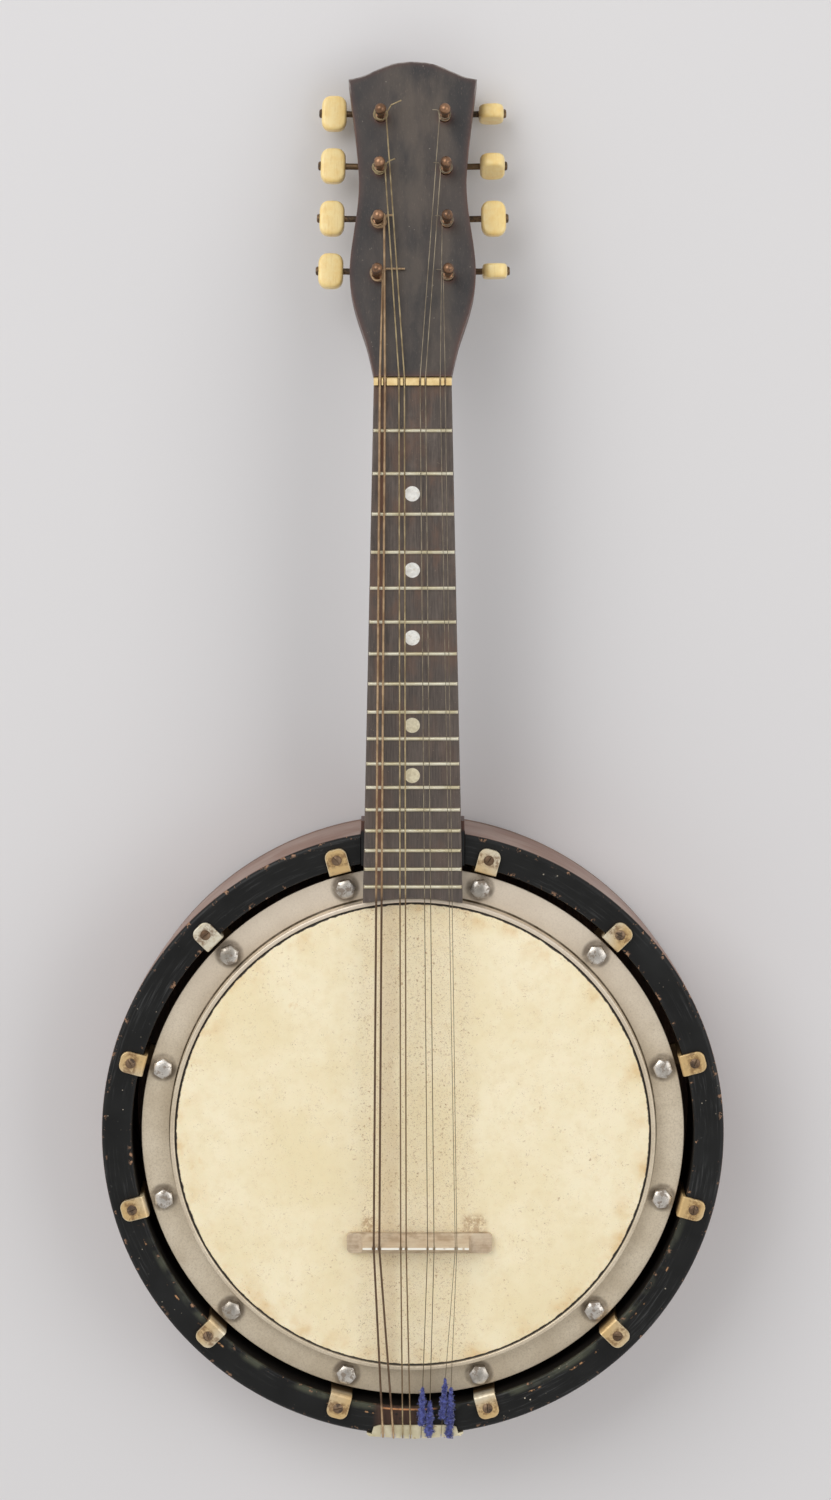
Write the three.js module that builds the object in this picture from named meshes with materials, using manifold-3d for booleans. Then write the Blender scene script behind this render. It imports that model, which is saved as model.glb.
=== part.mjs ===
// Banjolin: a small fretted lute with four pairs of strings. A drum with a skin head hangs
// inside a closed wooden body, and the neck's wood runs on through the body to the tail.
// Millimetres. +Z points out of the drum, +Y along the neck, and the origin is the centre of
// the flat back that the instrument lies on.

import * as THREE from 'three';
import { mergeVertices } from 'three/addons/utils/BufferGeometryUtils.js';
import Module from 'manifold-3d';

const wasm = await Module();
wasm.setup();

// Clearances and roundness
const clearance = 0.3;
const overrun = 4;
const weldDistance = 0.0001;
const cornerShare = 1 / 4;
const lapShare = 1 / 4;
const ringSides = 48;
const shaftSides = 8;
const holeSides = 8;

// Body: wooden side with a black front face, and a back plate
const bodyDepth = 58;
const bodyRadius = 129;
const bodyTaper = 4;
const bodySideBulge = 2;
const bodyEdgeRound = 1.8;
const rimWidth = 12.4;
const wellEdgeRound = 0.8;
const backThickness = 5;
const backEdgeRound = 2.4;
const bodySideSteps = 3;

// Drum: skin over a tone hoop, with its wire hoop at the skin's lower edge
const skinThickness = 0.5;
const skinRise = 0.2;
const skinEdgeRound = 0.9;
const fleshHoopWidth = 3.2;
const fleshHoopHeight = 3;
const toneHoopWall = 3;
const toneHoopHeight = 21.4;

// Clamp ring: the flat flange and the hoop that stands round the skin
const clampGap = 3.9;
const flangeWidth = 12;
const clampThickness = 2;
const clampDrop = 5.9;
const hoopWall = 2;
const hoopRise = 0.4;

// Tension bolts and the brackets that carry the drum
const boltCount = 12;
const boltInset = 5.5;
const boltRadius = 2;
const boltHeadAcross = 7.3;
const boltHeadSides = 6;
const boltHeadHeight = 4;
const boltHeadCrown = 1.1;
const boltTail = 2.6;
const bracketWidth = 9;
const bracketThickness = 1.6;
const bracketBend = 0.7;
const bracketCorner = 3.2;
const footThickness = 3;
const footReach = 1;
const screwInset = 8.3;
const screwHeadRadius = 2.1;
const screwHeadHeight = 0.9;
const screwRadius = 1.1;
const screwLength = 9;
const screwSides = 6;

// Neck, heel and the pole through the body
const scaleLength = 330;
const octaveFrets = 12;
const joinFret = 14;
const joinGap = 0.9;
const nutThickness = 2.95;
const nutWidth = 31.5;
const nutRise = 1.9;
const boardThickness = 5;
const boardEndWidth = 41;
const boardEndGap = 0.9;
const boardCurveSteps = 4;
const fretEndMargin = 3;
const fretWidth = 1.5;
const fretCrownWidth = 0.8;
const fretHeight = 0.9;
const fretWallHeight = 0.3;
const fretTang = 0.6;
const fretInset = 0.3;
const neckDepthAtNut = 19;
const neckDepthAtBody = 24;
const heelDepth = 45;
const heelLength = 46;
const shoulderLength = 20;
const tongueDepth = 11;
const tongueMargin = 0.7;
const poleWidth = 20;
const poleDepth = 16;
const poleGap = 2;
const poleLap = 4;
const neckSteps = 12;
const neckArcSteps = 6;

// Headstock, in its own plane from the nut's back edge
const headAngle = THREE.MathUtils.degToRad(17);
const headDrop = 2.1;
const headThickness = 15;
const headLength = 130.3;
const headCornerAt = 122.9;
const headRootWidth = 31;
const headNeckWidth = 36.5;
const headNeckAt = 12.5;
const headBulgeWidth = 51;
const headBulgeAt = 41;
const headWaistWidth = 43.6;
const headWaistAt = 80;
const headTopWidth = 52.2;
const headUnderlap = 14;
const crestInnerWidth = 26;
const crestOuterWidth = 31;
const crestFootAt = 124.4;
const outlineCurveSteps = 3;

// Tuners: posts with gears, keys with worms and buttons, and the two plates
const stripOffset = 13.65;
const stripFromTop = 55.6;
const stripSplay = THREE.MathUtils.degToRad(1.15);
const postPitch = 21.9;
const rowCount = 4;
const postRadius = 2.25;
const postWaistRadius = 1.4;
const postHeight = 15.5;
const postCrown = 1.6;
const postCrownShare = 0.62;
const postWaistLow = 0.6;
const postWaistHigh = 10.4;
const postWaistRound = 0.3;
const postStub = 0.9;
const gearTeeth = 12;
const gearTipRadius = 3.9;
const gearRootRadius = 2.95;
const gearThickness = 2.8;
const gearDrop = 1.4;
const toothRootWidth = 0.95;
const toothTipWidth = 0.5;
const wormOffset = 5.4;
const wormRadius = 2.25;
const wormRootWidth = 0.85;
const wormTurns = 2;
const wormStepsPerTurn = 8;
const keyRadius = 1.3;
const keyStub = 1;
const plateThickness = 1.2;
const plateWidth = 15;
const plateMargin = 12;
const earThickness = 1.2;
const earWidth = 5.6;
const earDrop = 2.6;
const earSpacing = 10.4;
const plateScrewRadius = 2.1;
const plateScrewHeight = 0.8;
const buttonAt = 32.9;
const buttonLength = 10.2;
const buttonWidth = 14.5;
const buttonStraight = 6.4;
const buttonShoulderShare = 0.62;
const buttonThickness = 5.8;
const buttonRound = 0.9;
const buttonCapRadius = 1.9;
const buttonCapHeight = 1.1;

// Bridge
const bridgeFromTail = 83.95;
const bridgeCentre = 2.75;
const bridgeLength = 60.3;
const bridgeDepth = 8.5;
const bridgeHeight = 12;
const bridgeFootHeight = 2.6;
const bridgeArchHeight = 1.2;
const bridgeArchLength = 34;
const saddleCentre = 1.2;
const saddleLength = 44;
const saddleThickness = 2;
const saddleFlare = 3;

// Tailpiece: a lip over the body's edge and a slotted plate down the side with eight pins
const tailCentre = 0.9;
const tailWidth = 36;
const tailThickness = 0.9;
const tailLipReach = 5.2;
const tailDrop = 36;
const tailCorner = 3;
const pinRadius = 0.8;
const pinLength = 2.4;
const pinUpperDrop = 13;
const pinLowerDrop = 20;
const pinSlotGap = 1.8;
const tailScrewRadius = 2.4;
const tailScrewHeight = 1.1;
const tailScrewDrop = 30;
const tailNailRadius = 1.1;
const tailNailHeight = 0.8;
const tailNailDrop = 3.6;
const tailNailInset = 0.6;

// Strings, from the lowest pair to the highest, left to right from the front
const stringDiameters = [0.9, 0.9, 0.6, 0.6, 0.36, 0.36, 0.25, 0.25];
const stringAction = 1.6;
const slotMargin = 0.3;
const nutStringShares = [-0.841, -0.71, -0.352, -0.213, 0.189, 0.327, 0.704, 0.83];
const bridgeStringShares = [-0.79, -0.684, -0.282, -0.179, 0.224, 0.346, 0.745, 0.775];
const bridgeSpareSlotShare = 0.9;
const tailStringShares = [-0.743, -0.499, -0.285, -0.104, 0.14, 0.326, 0.605, 0.791];
const windingTurns = [2, 3, 3, 3, 3, 3, 3, 3];
const windingHeights = [4.3, 6.6, 6.4, 6.4, 5.6, 5.6, 5.6, 4.2];
const windingGap = 0.5;
const windingSteps = 8;
const stringSides = [6, 6, 5, 5, 5, 5, 5, 5];
const loopOutShares = [1.125, 1.5, 2];
const loopEndLengths = [6.5, 1, 2, 4, 1, 1, 1, 1];
const loopEndRises = [0, 0, 2, 5, 0, 0, 0, 0];
const hitchRise = 1.4;
const hitchSteps = 4;

// Buttons' rest angles about their shafts, for strings 1 to 8
const buttonTurns = [0, 0, 0, 0, 89, 75, 0, 98].map(THREE.MathUtils.degToRad);

// Distance from the nut to a fret: an octave of frets halves the string.
function fretDistance(fret) {
  return scaleLength * (1 - 2 ** (-fret / octaveFrets));
}

function fretsWithin(boardLength) {
  return Math.floor(octaveFrets * Math.log2(scaleLength / (scaleLength - boardLength)));
}

// Radii and places that follow from the sizes above
const bodyBackRadius = bodyRadius - bodyTaper;
const wellRadius = bodyRadius - rimWidth;
const screwCircleRadius = bodyRadius - screwInset;
const clampRadius = wellRadius - clampGap;
const boltCircleRadius = clampRadius - boltInset;
const hoopOuterRadius = clampRadius - flangeWidth;
const hoopInnerRadius = hoopOuterRadius - hoopWall;
const skinRadius = hoopInnerRadius - clearance;
const toneHoopRadius = skinRadius - skinThickness - clearance;
const boardEndRadius = hoopOuterRadius + boardEndGap;
const nutFrontAt = bodyRadius + joinGap + fretDistance(joinFret);
const boardNutEnd = nutFrontAt - clearance;
const headStart = nutFrontAt + nutThickness + clearance;
const bridgeAt = bridgeFromTail - bodyRadius;
const fretCount = fretsWithin(nutFrontAt - boardEndRadius - fretEndMargin);
const stripMiddle = headLength - stripFromTop;

// Levels that follow from the sizes above
const skinTop = bodyDepth + skinRise;
const hoopTop = skinTop + hoopRise;
const clampTop = bodyDepth - clampDrop;
const clampBottom = clampTop - clampThickness;
const toneHoopTop = skinTop - skinThickness - clearance;
const toneHoopBottom = toneHoopTop - toneHoopHeight;
const poleBottom = toneHoopBottom - poleGap - poleDepth;
const footTop = toneHoopBottom - clearance;
const footBottom = footTop - footThickness;
const boardBottom = hoopTop + 2 * clearance;
const boardTop = boardBottom + boardThickness;
const neckTop = boardBottom - clearance;
const headFaceLevel = boardTop - headDrop;
const nutTop = boardTop + nutRise;
const bridgeTop = skinTop + bridgeHeight;
const tailLipTop = bodyDepth + clearance + tailThickness;
const headBack = -headThickness;
const plateBack = headBack - clearance - plateThickness;
const gearTop = plateBack - gearDrop;
const gearBottom = gearTop - gearThickness;
const wormLevel = (gearTop + gearBottom) / 2;
const gearPitchRadius = gearRootRadius + (gearTipRadius - gearRootRadius) / 2;
const wormPitchRadius = wormOffset - gearPitchRadius;
const wormLead = (2 * Math.PI * gearPitchRadius) / gearTeeth;
const stringNutLevel = boardTop + stringAction;

// Materials
function finish(color, roughness, metalness) {
  return new THREE.MeshStandardMaterial({ color, roughness, metalness });
}

const darkWood = finish(0x4c4442, 0.55, 0);
const boardWood = finish(0x5a504e, 0.6, 0);
const brownWood = finish(0x8a6a58, 0.5, 0);
const blackPaint = finish(0x24221f, 0.45, 0);
const bone = finish(0xe8d8a4, 0.45, 0);
const calfSkin = finish(0xefe2bd, 0.65, 0);
const nickel = finish(0xc8bca8, 0.35, 0.9);
const brass = finish(0xb89b66, 0.4, 0.9);
const copper = finish(0x96704e, 0.35, 0.9);
const ivoroid = finish(0xf0d78c, 0.4, 0);
const maple = finish(0xb8a084, 0.6, 0);
const woundWire = finish(0x8d7a63, 0.4, 0.8);
const plainWire = finish(0xc9c6bf, 0.3, 0.95);

// Turns a closed geometry into a solid with its faces pointing out.
function solidOf(geometry) {
  const bare = geometry.clone();
  bare.deleteAttribute('normal');
  bare.deleteAttribute('uv');
  const welded = mergeVertices(bare, weldDistance);
  const places = welded.attributes.position;
  const corners = Array.from(welded.index.array);
  const triangles = [];
  let volume = 0;
  for (let i = 0; i < corners.length; i += 3) {
    const [a, b, c] = corners.slice(i, i + 3);
    if (a === b || b === c || c === a) {
      continue;
    }
    const [p, q, r] = [a, b, c].map((k) => new THREE.Vector3().fromBufferAttribute(places, k));
    volume += p.dot(q.cross(r));
    triangles.push([a, b, c]);
  }
  const outward = volume > 0 ? triangles : triangles.map(([a, b, c]) => [a, c, b]);
  return new wasm.Manifold(new wasm.Mesh({
    numProp: 3,
    vertProperties: new Float32Array(places.array),
    triVerts: new Uint32Array(outward.flat()),
  }));
}

function geometryOf(solid) {
  const mesh = solid.getMesh();
  const geometry = new THREE.BufferGeometry();
  geometry.setAttribute('position', new THREE.BufferAttribute(mesh.vertProperties, 3));
  geometry.setIndex(new THREE.BufferAttribute(mesh.triVerts, 1));
  geometry.computeVertexNormals();
  return geometry;
}

// A ring or disc turned about Z from radius and height pairs.
function latheGeometry(profile, sides) {
  const points = profile.map(([radius, height]) => new THREE.Vector2(radius, height));
  const geometry = new THREE.LatheGeometry(points, sides);
  geometry.rotateX(Math.PI / 2);
  return geometry;
}

function lathe(profile, sides) {
  return solidOf(latheGeometry(profile, sides));
}

// A quarter of a circle between two directions, as profile points.
function roundCorner(radius, height, size, fromAngle, toAngle, steps) {
  const points = [];
  for (let i = 0; i <= steps; i += 1) {
    const angle = THREE.MathUtils.lerp(fromAngle, toAngle, i / steps);
    points.push([radius + size * Math.cos(angle), height + size * Math.sin(angle)]);
  }
  return points;
}

// A box between two corners.
function block(x0, x1, y0, y1, z0, z1) {
  const geometry = new THREE.BoxGeometry(x1 - x0, y1 - y0, z1 - z0);
  geometry.translate((x0 + x1) / 2, (y0 + y1) / 2, (z0 + z1) / 2);
  return solidOf(geometry);
}

// A round rod along Z from z0 to z1.
function rodGeometry(radius, z0, z1, sides) {
  const geometry = new THREE.CylinderGeometry(radius, radius, z1 - z0, sides);
  geometry.rotateX(Math.PI / 2);
  geometry.translate(0, 0, (z0 + z1) / 2);
  return geometry;
}

function rod(radius, x, y, z0, z1, sides) {
  const geometry = rodGeometry(radius, z0, z1, sides);
  geometry.translate(x, y, 0);
  return solidOf(geometry);
}

// A round rod along X from x0 to x1.
function crossRod(radius, x0, x1, y, z, sides) {
  const geometry = rodGeometry(radius, x0, x1, sides);
  geometry.rotateY(Math.PI / 2);
  geometry.translate(0, y, z);
  return solidOf(geometry);
}

function polygon(corners) {
  return new THREE.Shape(corners.map(([x, y]) => new THREE.Vector2(x, y)));
}

function prismGeometry(shape, depth, curveSegments = 1) {
  return new THREE.ExtrudeGeometry(shape, { depth, curveSegments, bevelEnabled: false });
}

// An outline in X and Z, carried from y0 to y1.
function prismAlongY(corners, y0, y1) {
  const geometry = prismGeometry(polygon(corners), y1 - y0);
  geometry.rotateX(Math.PI / 2);
  geometry.translate(0, y1, 0);
  return solidOf(geometry);
}

// An outline in Y and Z, carried from x0 to x1.
function prismAlongX(corners, x0, x1) {
  const geometry = prismGeometry(polygon(corners), x1 - x0);
  geometry.rotateX(Math.PI / 2);
  geometry.rotateZ(Math.PI / 2);
  geometry.translate(x0, 0, 0);
  return solidOf(geometry);
}

// A curve that a tube follows point by point, with its joints mitred.
class Route extends THREE.Curve {
  constructor(points) {
    super();
    this.points = points;
  }

  getPoint(share, target = new THREE.Vector3()) {
    const place = share * (this.points.length - 1);
    const before = Math.min(Math.floor(place), this.points.length - 2);
    return target.lerpVectors(this.points[before], this.points[before + 1], place - before);
  }

  getPointAt(share, target) {
    return this.getPoint(share, target);
  }

  getTangentAt(share, target = new THREE.Vector3()) {
    const last = this.points.length - 1;
    const index = Math.round(share * last);
    target.set(0, 0, 0);
    if (index > 0) {
      target.add(this.points[index].clone().sub(this.points[index - 1]).normalize());
    }
    if (index < last) {
      target.add(this.points[index + 1].clone().sub(this.points[index]).normalize());
    }
    return target.normalize();
  }
}

// The worm's ridge: a helix about X whose section keeps pointing away from the axis.
class Ridge extends Route {
  computeFrenetFrames() {
    const last = this.points.length - 1;
    const tangents = this.points.map((point, i) => this.getTangentAt(i / last));
    const normals = this.points.map((point) => new THREE.Vector3(0, point.y, point.z).normalize());
    const binormals = normals.map((normal, i) => tangents[i].clone().cross(normal).normalize());
    return { tangents, normals, binormals };
  }
}

function tube(points, radius, sides) {
  const section = [];
  for (let i = 0; i < sides; i += 1) {
    const angle = (2 * Math.PI * i) / sides;
    section.push([radius * Math.cos(angle), radius * Math.sin(angle)]);
  }
  const settings = { steps: points.length - 1, extrudePath: new Route(points) };
  return solidOf(new THREE.ExtrudeGeometry(polygon(section), settings));
}

// Radius of the body's side at a height.
function bodySideRadius(level) {
  const share = THREE.MathUtils.clamp((level - backThickness) / (bodyDepth - backThickness), 0, 1);
  const straight = THREE.MathUtils.lerp(bodyBackRadius, bodyRadius, share);
  return straight + bodySideBulge * share * (1 - share);
}

// Half of the fingerboard's width at a distance along the neck.
function boardHalfWidth(y) {
  const share = (boardNutEnd - y) / (boardNutEnd - boardEndRadius);
  return THREE.MathUtils.lerp(nutWidth, boardEndWidth, share) / 2;
}

// Angle of each bolt and its bracket round the drum.
function boltAngle(index) {
  return (2 * Math.PI * (index + 1 / 2)) / boltCount;
}

// Place on the headstock's plane: across, along from the nut and out of its face.
const headOrigin = new THREE.Vector3(0, nutFrontAt + nutThickness, headFaceLevel);

function headPoint(x, along, out) {
  const point = new THREE.Vector3(x, along, out);
  point.applyAxisAngle(new THREE.Vector3(1, 0, 0), -headAngle);
  return point.add(headOrigin);
}

const model = new THREE.Group();
const head = new THREE.Group();
head.position.copy(headOrigin);
head.rotation.x = -headAngle;
model.add(head);

const strips = new Map();
[-1, 1].forEach((side) => {
  const strip = new THREE.Group();
  strip.position.set(side * stripOffset, stripMiddle, 0);
  strip.rotation.z = side * stripSplay;
  head.add(strip);
  strips.set(side, strip);
});

function addPiece(name, geometry, material, parent = model) {
  const mesh = new THREE.Mesh(geometry, material);
  mesh.name = name;
  parent.add(mesh);
  return mesh;
}

// Body side: one turned ring, notched for the neck and drilled for the bracket screws.
function bodySideProfile(offset) {
  const bottom = backThickness + clearance;
  const profile = [];
  for (let i = 0; i < bodySideSteps; i += 1) {
    const level = THREE.MathUtils.lerp(bottom, bodyDepth - bodyEdgeRound, i / bodySideSteps);
    profile.push([bodySideRadius(level) + offset, level]);
  }
  return profile;
}

function buildBodyRim() {
  const outer = roundCorner(
    bodyRadius - bodyEdgeRound, bodyDepth - bodyEdgeRound, bodyEdgeRound, 0, Math.PI / 2, 2,
  );
  const profile = [
    [wellRadius, backThickness + clearance],
    ...bodySideProfile(0),
    ...outer,
    [wellRadius + wellEdgeRound, bodyDepth],
    [wellRadius, bodyDepth - wellEdgeRound],
    [wellRadius, backThickness + clearance],
  ];
  const notchHalf = boardEndWidth / 2 + tongueMargin + clearance;
  const poleHalf = poleWidth / 2 + clearance;
  const inner = wellRadius - overrun - bodyEdgeRound;
  const outerReach = bodyRadius + overrun;
  let rim = lathe(profile, ringSides);
  rim = rim.subtract(block(
    -notchHalf, notchHalf, inner, outerReach, neckTop - tongueDepth - clearance, bodyDepth + overrun,
  ));
  rim = rim.subtract(block(
    -poleHalf, poleHalf, inner, outerReach, poleBottom - clearance, bodyDepth + overrun,
  ));
  for (let i = 0; i < boltCount; i += 1) {
    const x = screwCircleRadius * Math.cos(boltAngle(i));
    const y = screwCircleRadius * Math.sin(boltAngle(i));
    const holeBottom = bodyDepth - screwLength - clearance;
    rim = rim.subtract(rod(screwRadius + clearance, x, y, holeBottom, bodyDepth + overrun, screwSides));
  }
  return rim;
}

function buildBodyBack() {
  const edge = roundCorner(
    bodyBackRadius - backEdgeRound, backEdgeRound, backEdgeRound, -Math.PI / 2, 0, 2,
  );
  const profile = [[0, 0], ...edge, [bodyBackRadius, backThickness], [0, backThickness]];
  return lathe(profile, ringSides);
}

function buildToneHoop() {
  const inner = toneHoopRadius - toneHoopWall;
  return lathe([
    [inner, toneHoopBottom],
    [toneHoopRadius, toneHoopBottom],
    [toneHoopRadius, toneHoopTop],
    [inner, toneHoopTop],
    [inner, toneHoopBottom],
  ], ringSides);
}

// Skin: a flat head turned down over the tone hoop, wrapped round its wire hoop below.
function buildSkin() {
  const inner = skinRadius - skinThickness;
  const hoopUpper = clampBottom - clearance;
  const hoopLower = hoopUpper - fleshHoopHeight;
  const hoopRadius = skinRadius + fleshHoopWidth;
  const hoopRound = fleshHoopHeight * cornerShare;
  const edge = roundCorner(
    skinRadius - skinEdgeRound, skinTop - skinEdgeRound, skinEdgeRound, Math.PI / 2, 0, 2,
  );
  return lathe([
    [0, skinTop],
    ...edge,
    [skinRadius, hoopUpper],
    [hoopRadius - hoopRound, hoopUpper],
    [hoopRadius, (hoopUpper + hoopLower) / 2],
    [hoopRadius - hoopRound, hoopLower],
    [inner, hoopLower],
    [inner, skinTop - skinThickness],
    [0, skinTop - skinThickness],
  ], ringSides);
}

// Clamp ring: flange and standing hoop, with holes for the bolts.
function buildClampRing() {
  const lip = hoopWall * cornerShare;
  let ring = lathe([
    [hoopInnerRadius, clampBottom],
    [clampRadius, clampBottom],
    [clampRadius, clampTop],
    [hoopOuterRadius, clampTop],
    [hoopOuterRadius, hoopTop - lip],
    [hoopOuterRadius - lip, hoopTop],
    [hoopInnerRadius + lip, hoopTop],
    [hoopInnerRadius, hoopTop - lip],
    [hoopInnerRadius, clampBottom],
  ], ringSides);
  for (let i = 0; i < boltCount; i += 1) {
    const x = boltCircleRadius * Math.cos(boltAngle(i));
    const y = boltCircleRadius * Math.sin(boltAngle(i));
    const hole = rod(
      boltRadius + clearance, x, y, clampBottom - overrun, clampTop + overrun, holeSides,
    );
    ring = ring.subtract(hole);
  }
  return ring;
}

// Tension bolt: domed hexagon head on the clamp ring, shank down through the bracket's foot.
function buildBolt() {
  const headBottom = clampTop + clearance;
  const headRadius = boltHeadAcross / 2 / Math.cos(Math.PI / boltHeadSides);
  const crownTop = headBottom + boltHeadHeight;
  const headPart = lathe([
    [0, headBottom],
    [headRadius, headBottom],
    [headRadius, crownTop - boltHeadCrown],
    [headRadius - boltHeadCrown, crownTop - boltHeadCrown * cornerShare],
    [0, crownTop],
  ], boltHeadSides);
  const lap = boltHeadHeight * lapShare;
  const shank = rod(boltRadius, 0, 0, footBottom - boltTail, headBottom + lap, shaftSides);
  return headPart.add(shank);
}

// Bracket, drawn along +X: tab on the body's face, leg down the well, foot under the drum.
function buildBracket() {
  const wallBow = wellRadius - Math.sqrt(wellRadius ** 2 - (bracketWidth / 2) ** 2);
  const legOuter = wellRadius - clearance - wallBow;
  const legInner = legOuter - bracketThickness;
  const tabBottom = bodyDepth + clearance;
  const tabTop = tabBottom + bracketThickness;
  const tabEnd = screwCircleRadius + bracketWidth / 2;
  const footEnd = toneHoopRadius - toneHoopWall - footReach;
  const side = prismAlongY([
    [tabEnd, tabBottom],
    [tabEnd, tabTop],
    [legInner + bracketBend, tabTop],
    [legInner, tabTop - bracketBend],
    [legInner, footTop],
    [footEnd, footTop],
    [footEnd, footBottom],
    [legOuter, footBottom],
    [legOuter, tabBottom],
  ], -bracketWidth / 2, bracketWidth / 2);
  const plan = new THREE.Shape();
  plan.moveTo(footEnd - overrun, -bracketWidth / 2);
  const cornerAt = tabEnd - bracketCorner;
  const cornerSide = bracketWidth / 2 - bracketCorner;
  plan.lineTo(cornerAt, -bracketWidth / 2);
  plan.absarc(cornerAt, -cornerSide, bracketCorner, -Math.PI / 2, 0);
  plan.absarc(cornerAt, cornerSide, bracketCorner, 0, Math.PI / 2);
  plan.lineTo(footEnd - overrun, bracketWidth / 2);
  const planGeometry = prismGeometry(plan, tabTop - footBottom + 2 * overrun, 2);
  planGeometry.translate(0, 0, footBottom - overrun);
  const lap = bracketThickness / 2;
  const headTop = tabTop + screwHeadHeight;
  const headShape = latheGeometry([
    [0, tabTop - lap],
    [screwHeadRadius, tabTop - lap],
    [screwHeadRadius, tabTop + screwHeadHeight / 2],
    [0, headTop],
  ], shaftSides);
  headShape.translate(screwCircleRadius, 0, 0);
  const shank = rod(
    screwRadius, screwCircleRadius, 0, bodyDepth - screwLength, tabBottom + lap, screwSides,
  );
  const boltHole = rod(
    boltRadius + clearance, boltCircleRadius, 0, footBottom - overrun, footTop + overrun, holeSides,
  );
  return side.intersect(solidOf(planGeometry)).subtract(boltHole).add(solidOf(headShape)).add(shank);
}

// Neck shaft with its heel: half-round sections that deepen towards the body.
function neckDepthAt(y) {
  const share = (headStart - y) / (headStart - bodyRadius);
  const depth = THREE.MathUtils.lerp(neckDepthAtNut, neckDepthAtBody, share);
  const heelShare = THREE.MathUtils.clamp((bodyRadius + heelLength - y) / heelLength, 0, 1);
  return depth + (heelDepth - neckDepthAtBody) * heelShare ** 2;
}

function buildNeckShaft() {
  const section = new THREE.Shape();
  section.moveTo(1, 0);
  section.absarc(0, 0, 1, 0, -Math.PI, true);
  const geometry = new THREE.ExtrudeGeometry(section, {
    depth: 1, steps: neckSteps, curveSegments: neckArcSteps, bevelEnabled: false,
  });
  const start = bodyRadius - overrun;
  const end = headStart + shoulderLength;
  const places = geometry.attributes.position;
  for (let i = 0; i < places.count; i += 1) {
    const y = THREE.MathUtils.lerp(start, end, places.getZ(i) ** 2);
    const across = places.getX(i) * boardHalfWidth(Math.min(y, boardNutEnd));
    places.setXYZ(i, across, y, neckTop + places.getY(i) * neckDepthAt(y));
  }
  return solidOf(geometry);
}

// Outside of the body with a clearance, to cut the heel's seat.
function bodySeat() {
  const profile = bodySideProfile(clearance);
  const lowest = profile[0][0];
  return lathe([
    [0, -overrun],
    [lowest, -overrun],
    ...profile,
    [bodyRadius + clearance, bodyDepth - bodyEdgeRound],
    [bodyRadius + clearance, bodyDepth + overrun],
    [0, bodyDepth + overrun],
  ], ringSides);
}

function headOutline() {
  const rightSide = [
    [headRootWidth / 2, 0],
    [headNeckWidth / 2, headNeckAt],
    [headBulgeWidth / 2, headBulgeAt],
    [headWaistWidth / 2, headWaistAt],
    [headTopWidth / 2, headCornerAt],
  ].map(([x, y]) => new THREE.Vector2(x, y));
  const leftSide = rightSide.map((point) => new THREE.Vector2(-point.x, point.y)).reverse();
  const outline = new THREE.Shape();
  outline.moveTo(headRootWidth / 2, -headUnderlap);
  outline.lineTo(headRootWidth / 2, 0);
  outline.splineThru(rightSide.slice(1));
  outline.bezierCurveTo(
    crestOuterWidth / 2, crestFootAt, crestInnerWidth / 2, headLength, 0, headLength,
  );
  outline.bezierCurveTo(
    -crestInnerWidth / 2, headLength, -crestOuterWidth / 2, crestFootAt, -headTopWidth / 2, headCornerAt,
  );
  outline.splineThru(leftSide.slice(1));
  outline.lineTo(-headRootWidth / 2, -headUnderlap);
  return outline;
}

function toHeadPlane(geometry) {
  geometry.rotateX(-headAngle);
  geometry.translate(headOrigin.x, headOrigin.y, headOrigin.z);
  return solidOf(geometry);
}

// Each post: its string's index, its side, and its place along its own strip of tuners.
function forEachPost(visit) {
  for (let i = 0; i < 2 * rowCount; i += 1) {
    const isLeft = i < rowCount;
    const row = isLeft ? i : 2 * rowCount - 1 - i;
    visit(i, isLeft ? -1 : 1, rowAlongStrip(row));
  }
}

function rowAlongStrip(row) {
  return postPitch * (row - (rowCount - 1) / 2);
}

// A post's place on the headstock: the two strips lean together towards the tip.
function postOnHead(side, alongStrip) {
  return {
    x: side * (stripOffset - Math.sin(stripSplay) * alongStrip),
    along: stripMiddle + Math.cos(stripSplay) * alongStrip,
  };
}

function buildNeck() {
  const tongueHalf = boardEndWidth / 2 + tongueMargin;
  const wellFace = Math.sqrt(wellRadius ** 2 - (tongueHalf + clearance) ** 2) - clearance;
  const poleHalf = poleWidth / 2;
  const poleTail = -(Math.sqrt(wellRadius ** 2 - poleHalf ** 2) - clearance);
  const seatLap = bodyRadius + overrun;
  const plate = prismGeometry(headOutline(), headThickness, outlineCurveSteps);
  plate.translate(0, 0, headBack);
  let neck = buildNeckShaft().subtract(bodySeat());
  neck = neck.add(toHeadPlane(plate));
  neck = neck.add(block(-tongueHalf, tongueHalf, wellFace, seatLap, neckTop - tongueDepth, neckTop));
  neck = neck.add(block(-poleHalf, poleHalf, wellFace, seatLap, poleBottom, neckTop));
  neck = neck.add(block(
    -poleHalf, poleHalf, poleTail, wellFace + poleLap, poleBottom, poleBottom + poleDepth,
  ));
  const aboveFace = new THREE.BoxGeometry(headTopWidth, headBulgeAt, headBulgeAt);
  aboveFace.translate(0, headBulgeAt / 2, headBulgeAt / 2);
  neck = neck.subtract(toHeadPlane(aboveFace));
  const cutHalf = headTopWidth / 2;
  neck = neck.subtract(block(
    -cutHalf, cutHalf, headStart - headBulgeAt, headStart, neckTop, neckTop + headBulgeAt,
  ));
  forEachPost((index, side, alongStrip) => {
    const place = postOnHead(side, alongStrip);
    const hole = rodGeometry(postRadius + clearance, headBack - overrun, overrun, holeSides);
    hole.translate(place.x, place.along, 0);
    neck = neck.subtract(toHeadPlane(hole));
  });
  return neck;
}

// Fingerboard with its frets pressed in; its end follows the drum's hoop.
function fretAt(number) {
  return nutFrontAt - fretDistance(number);
}

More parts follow.
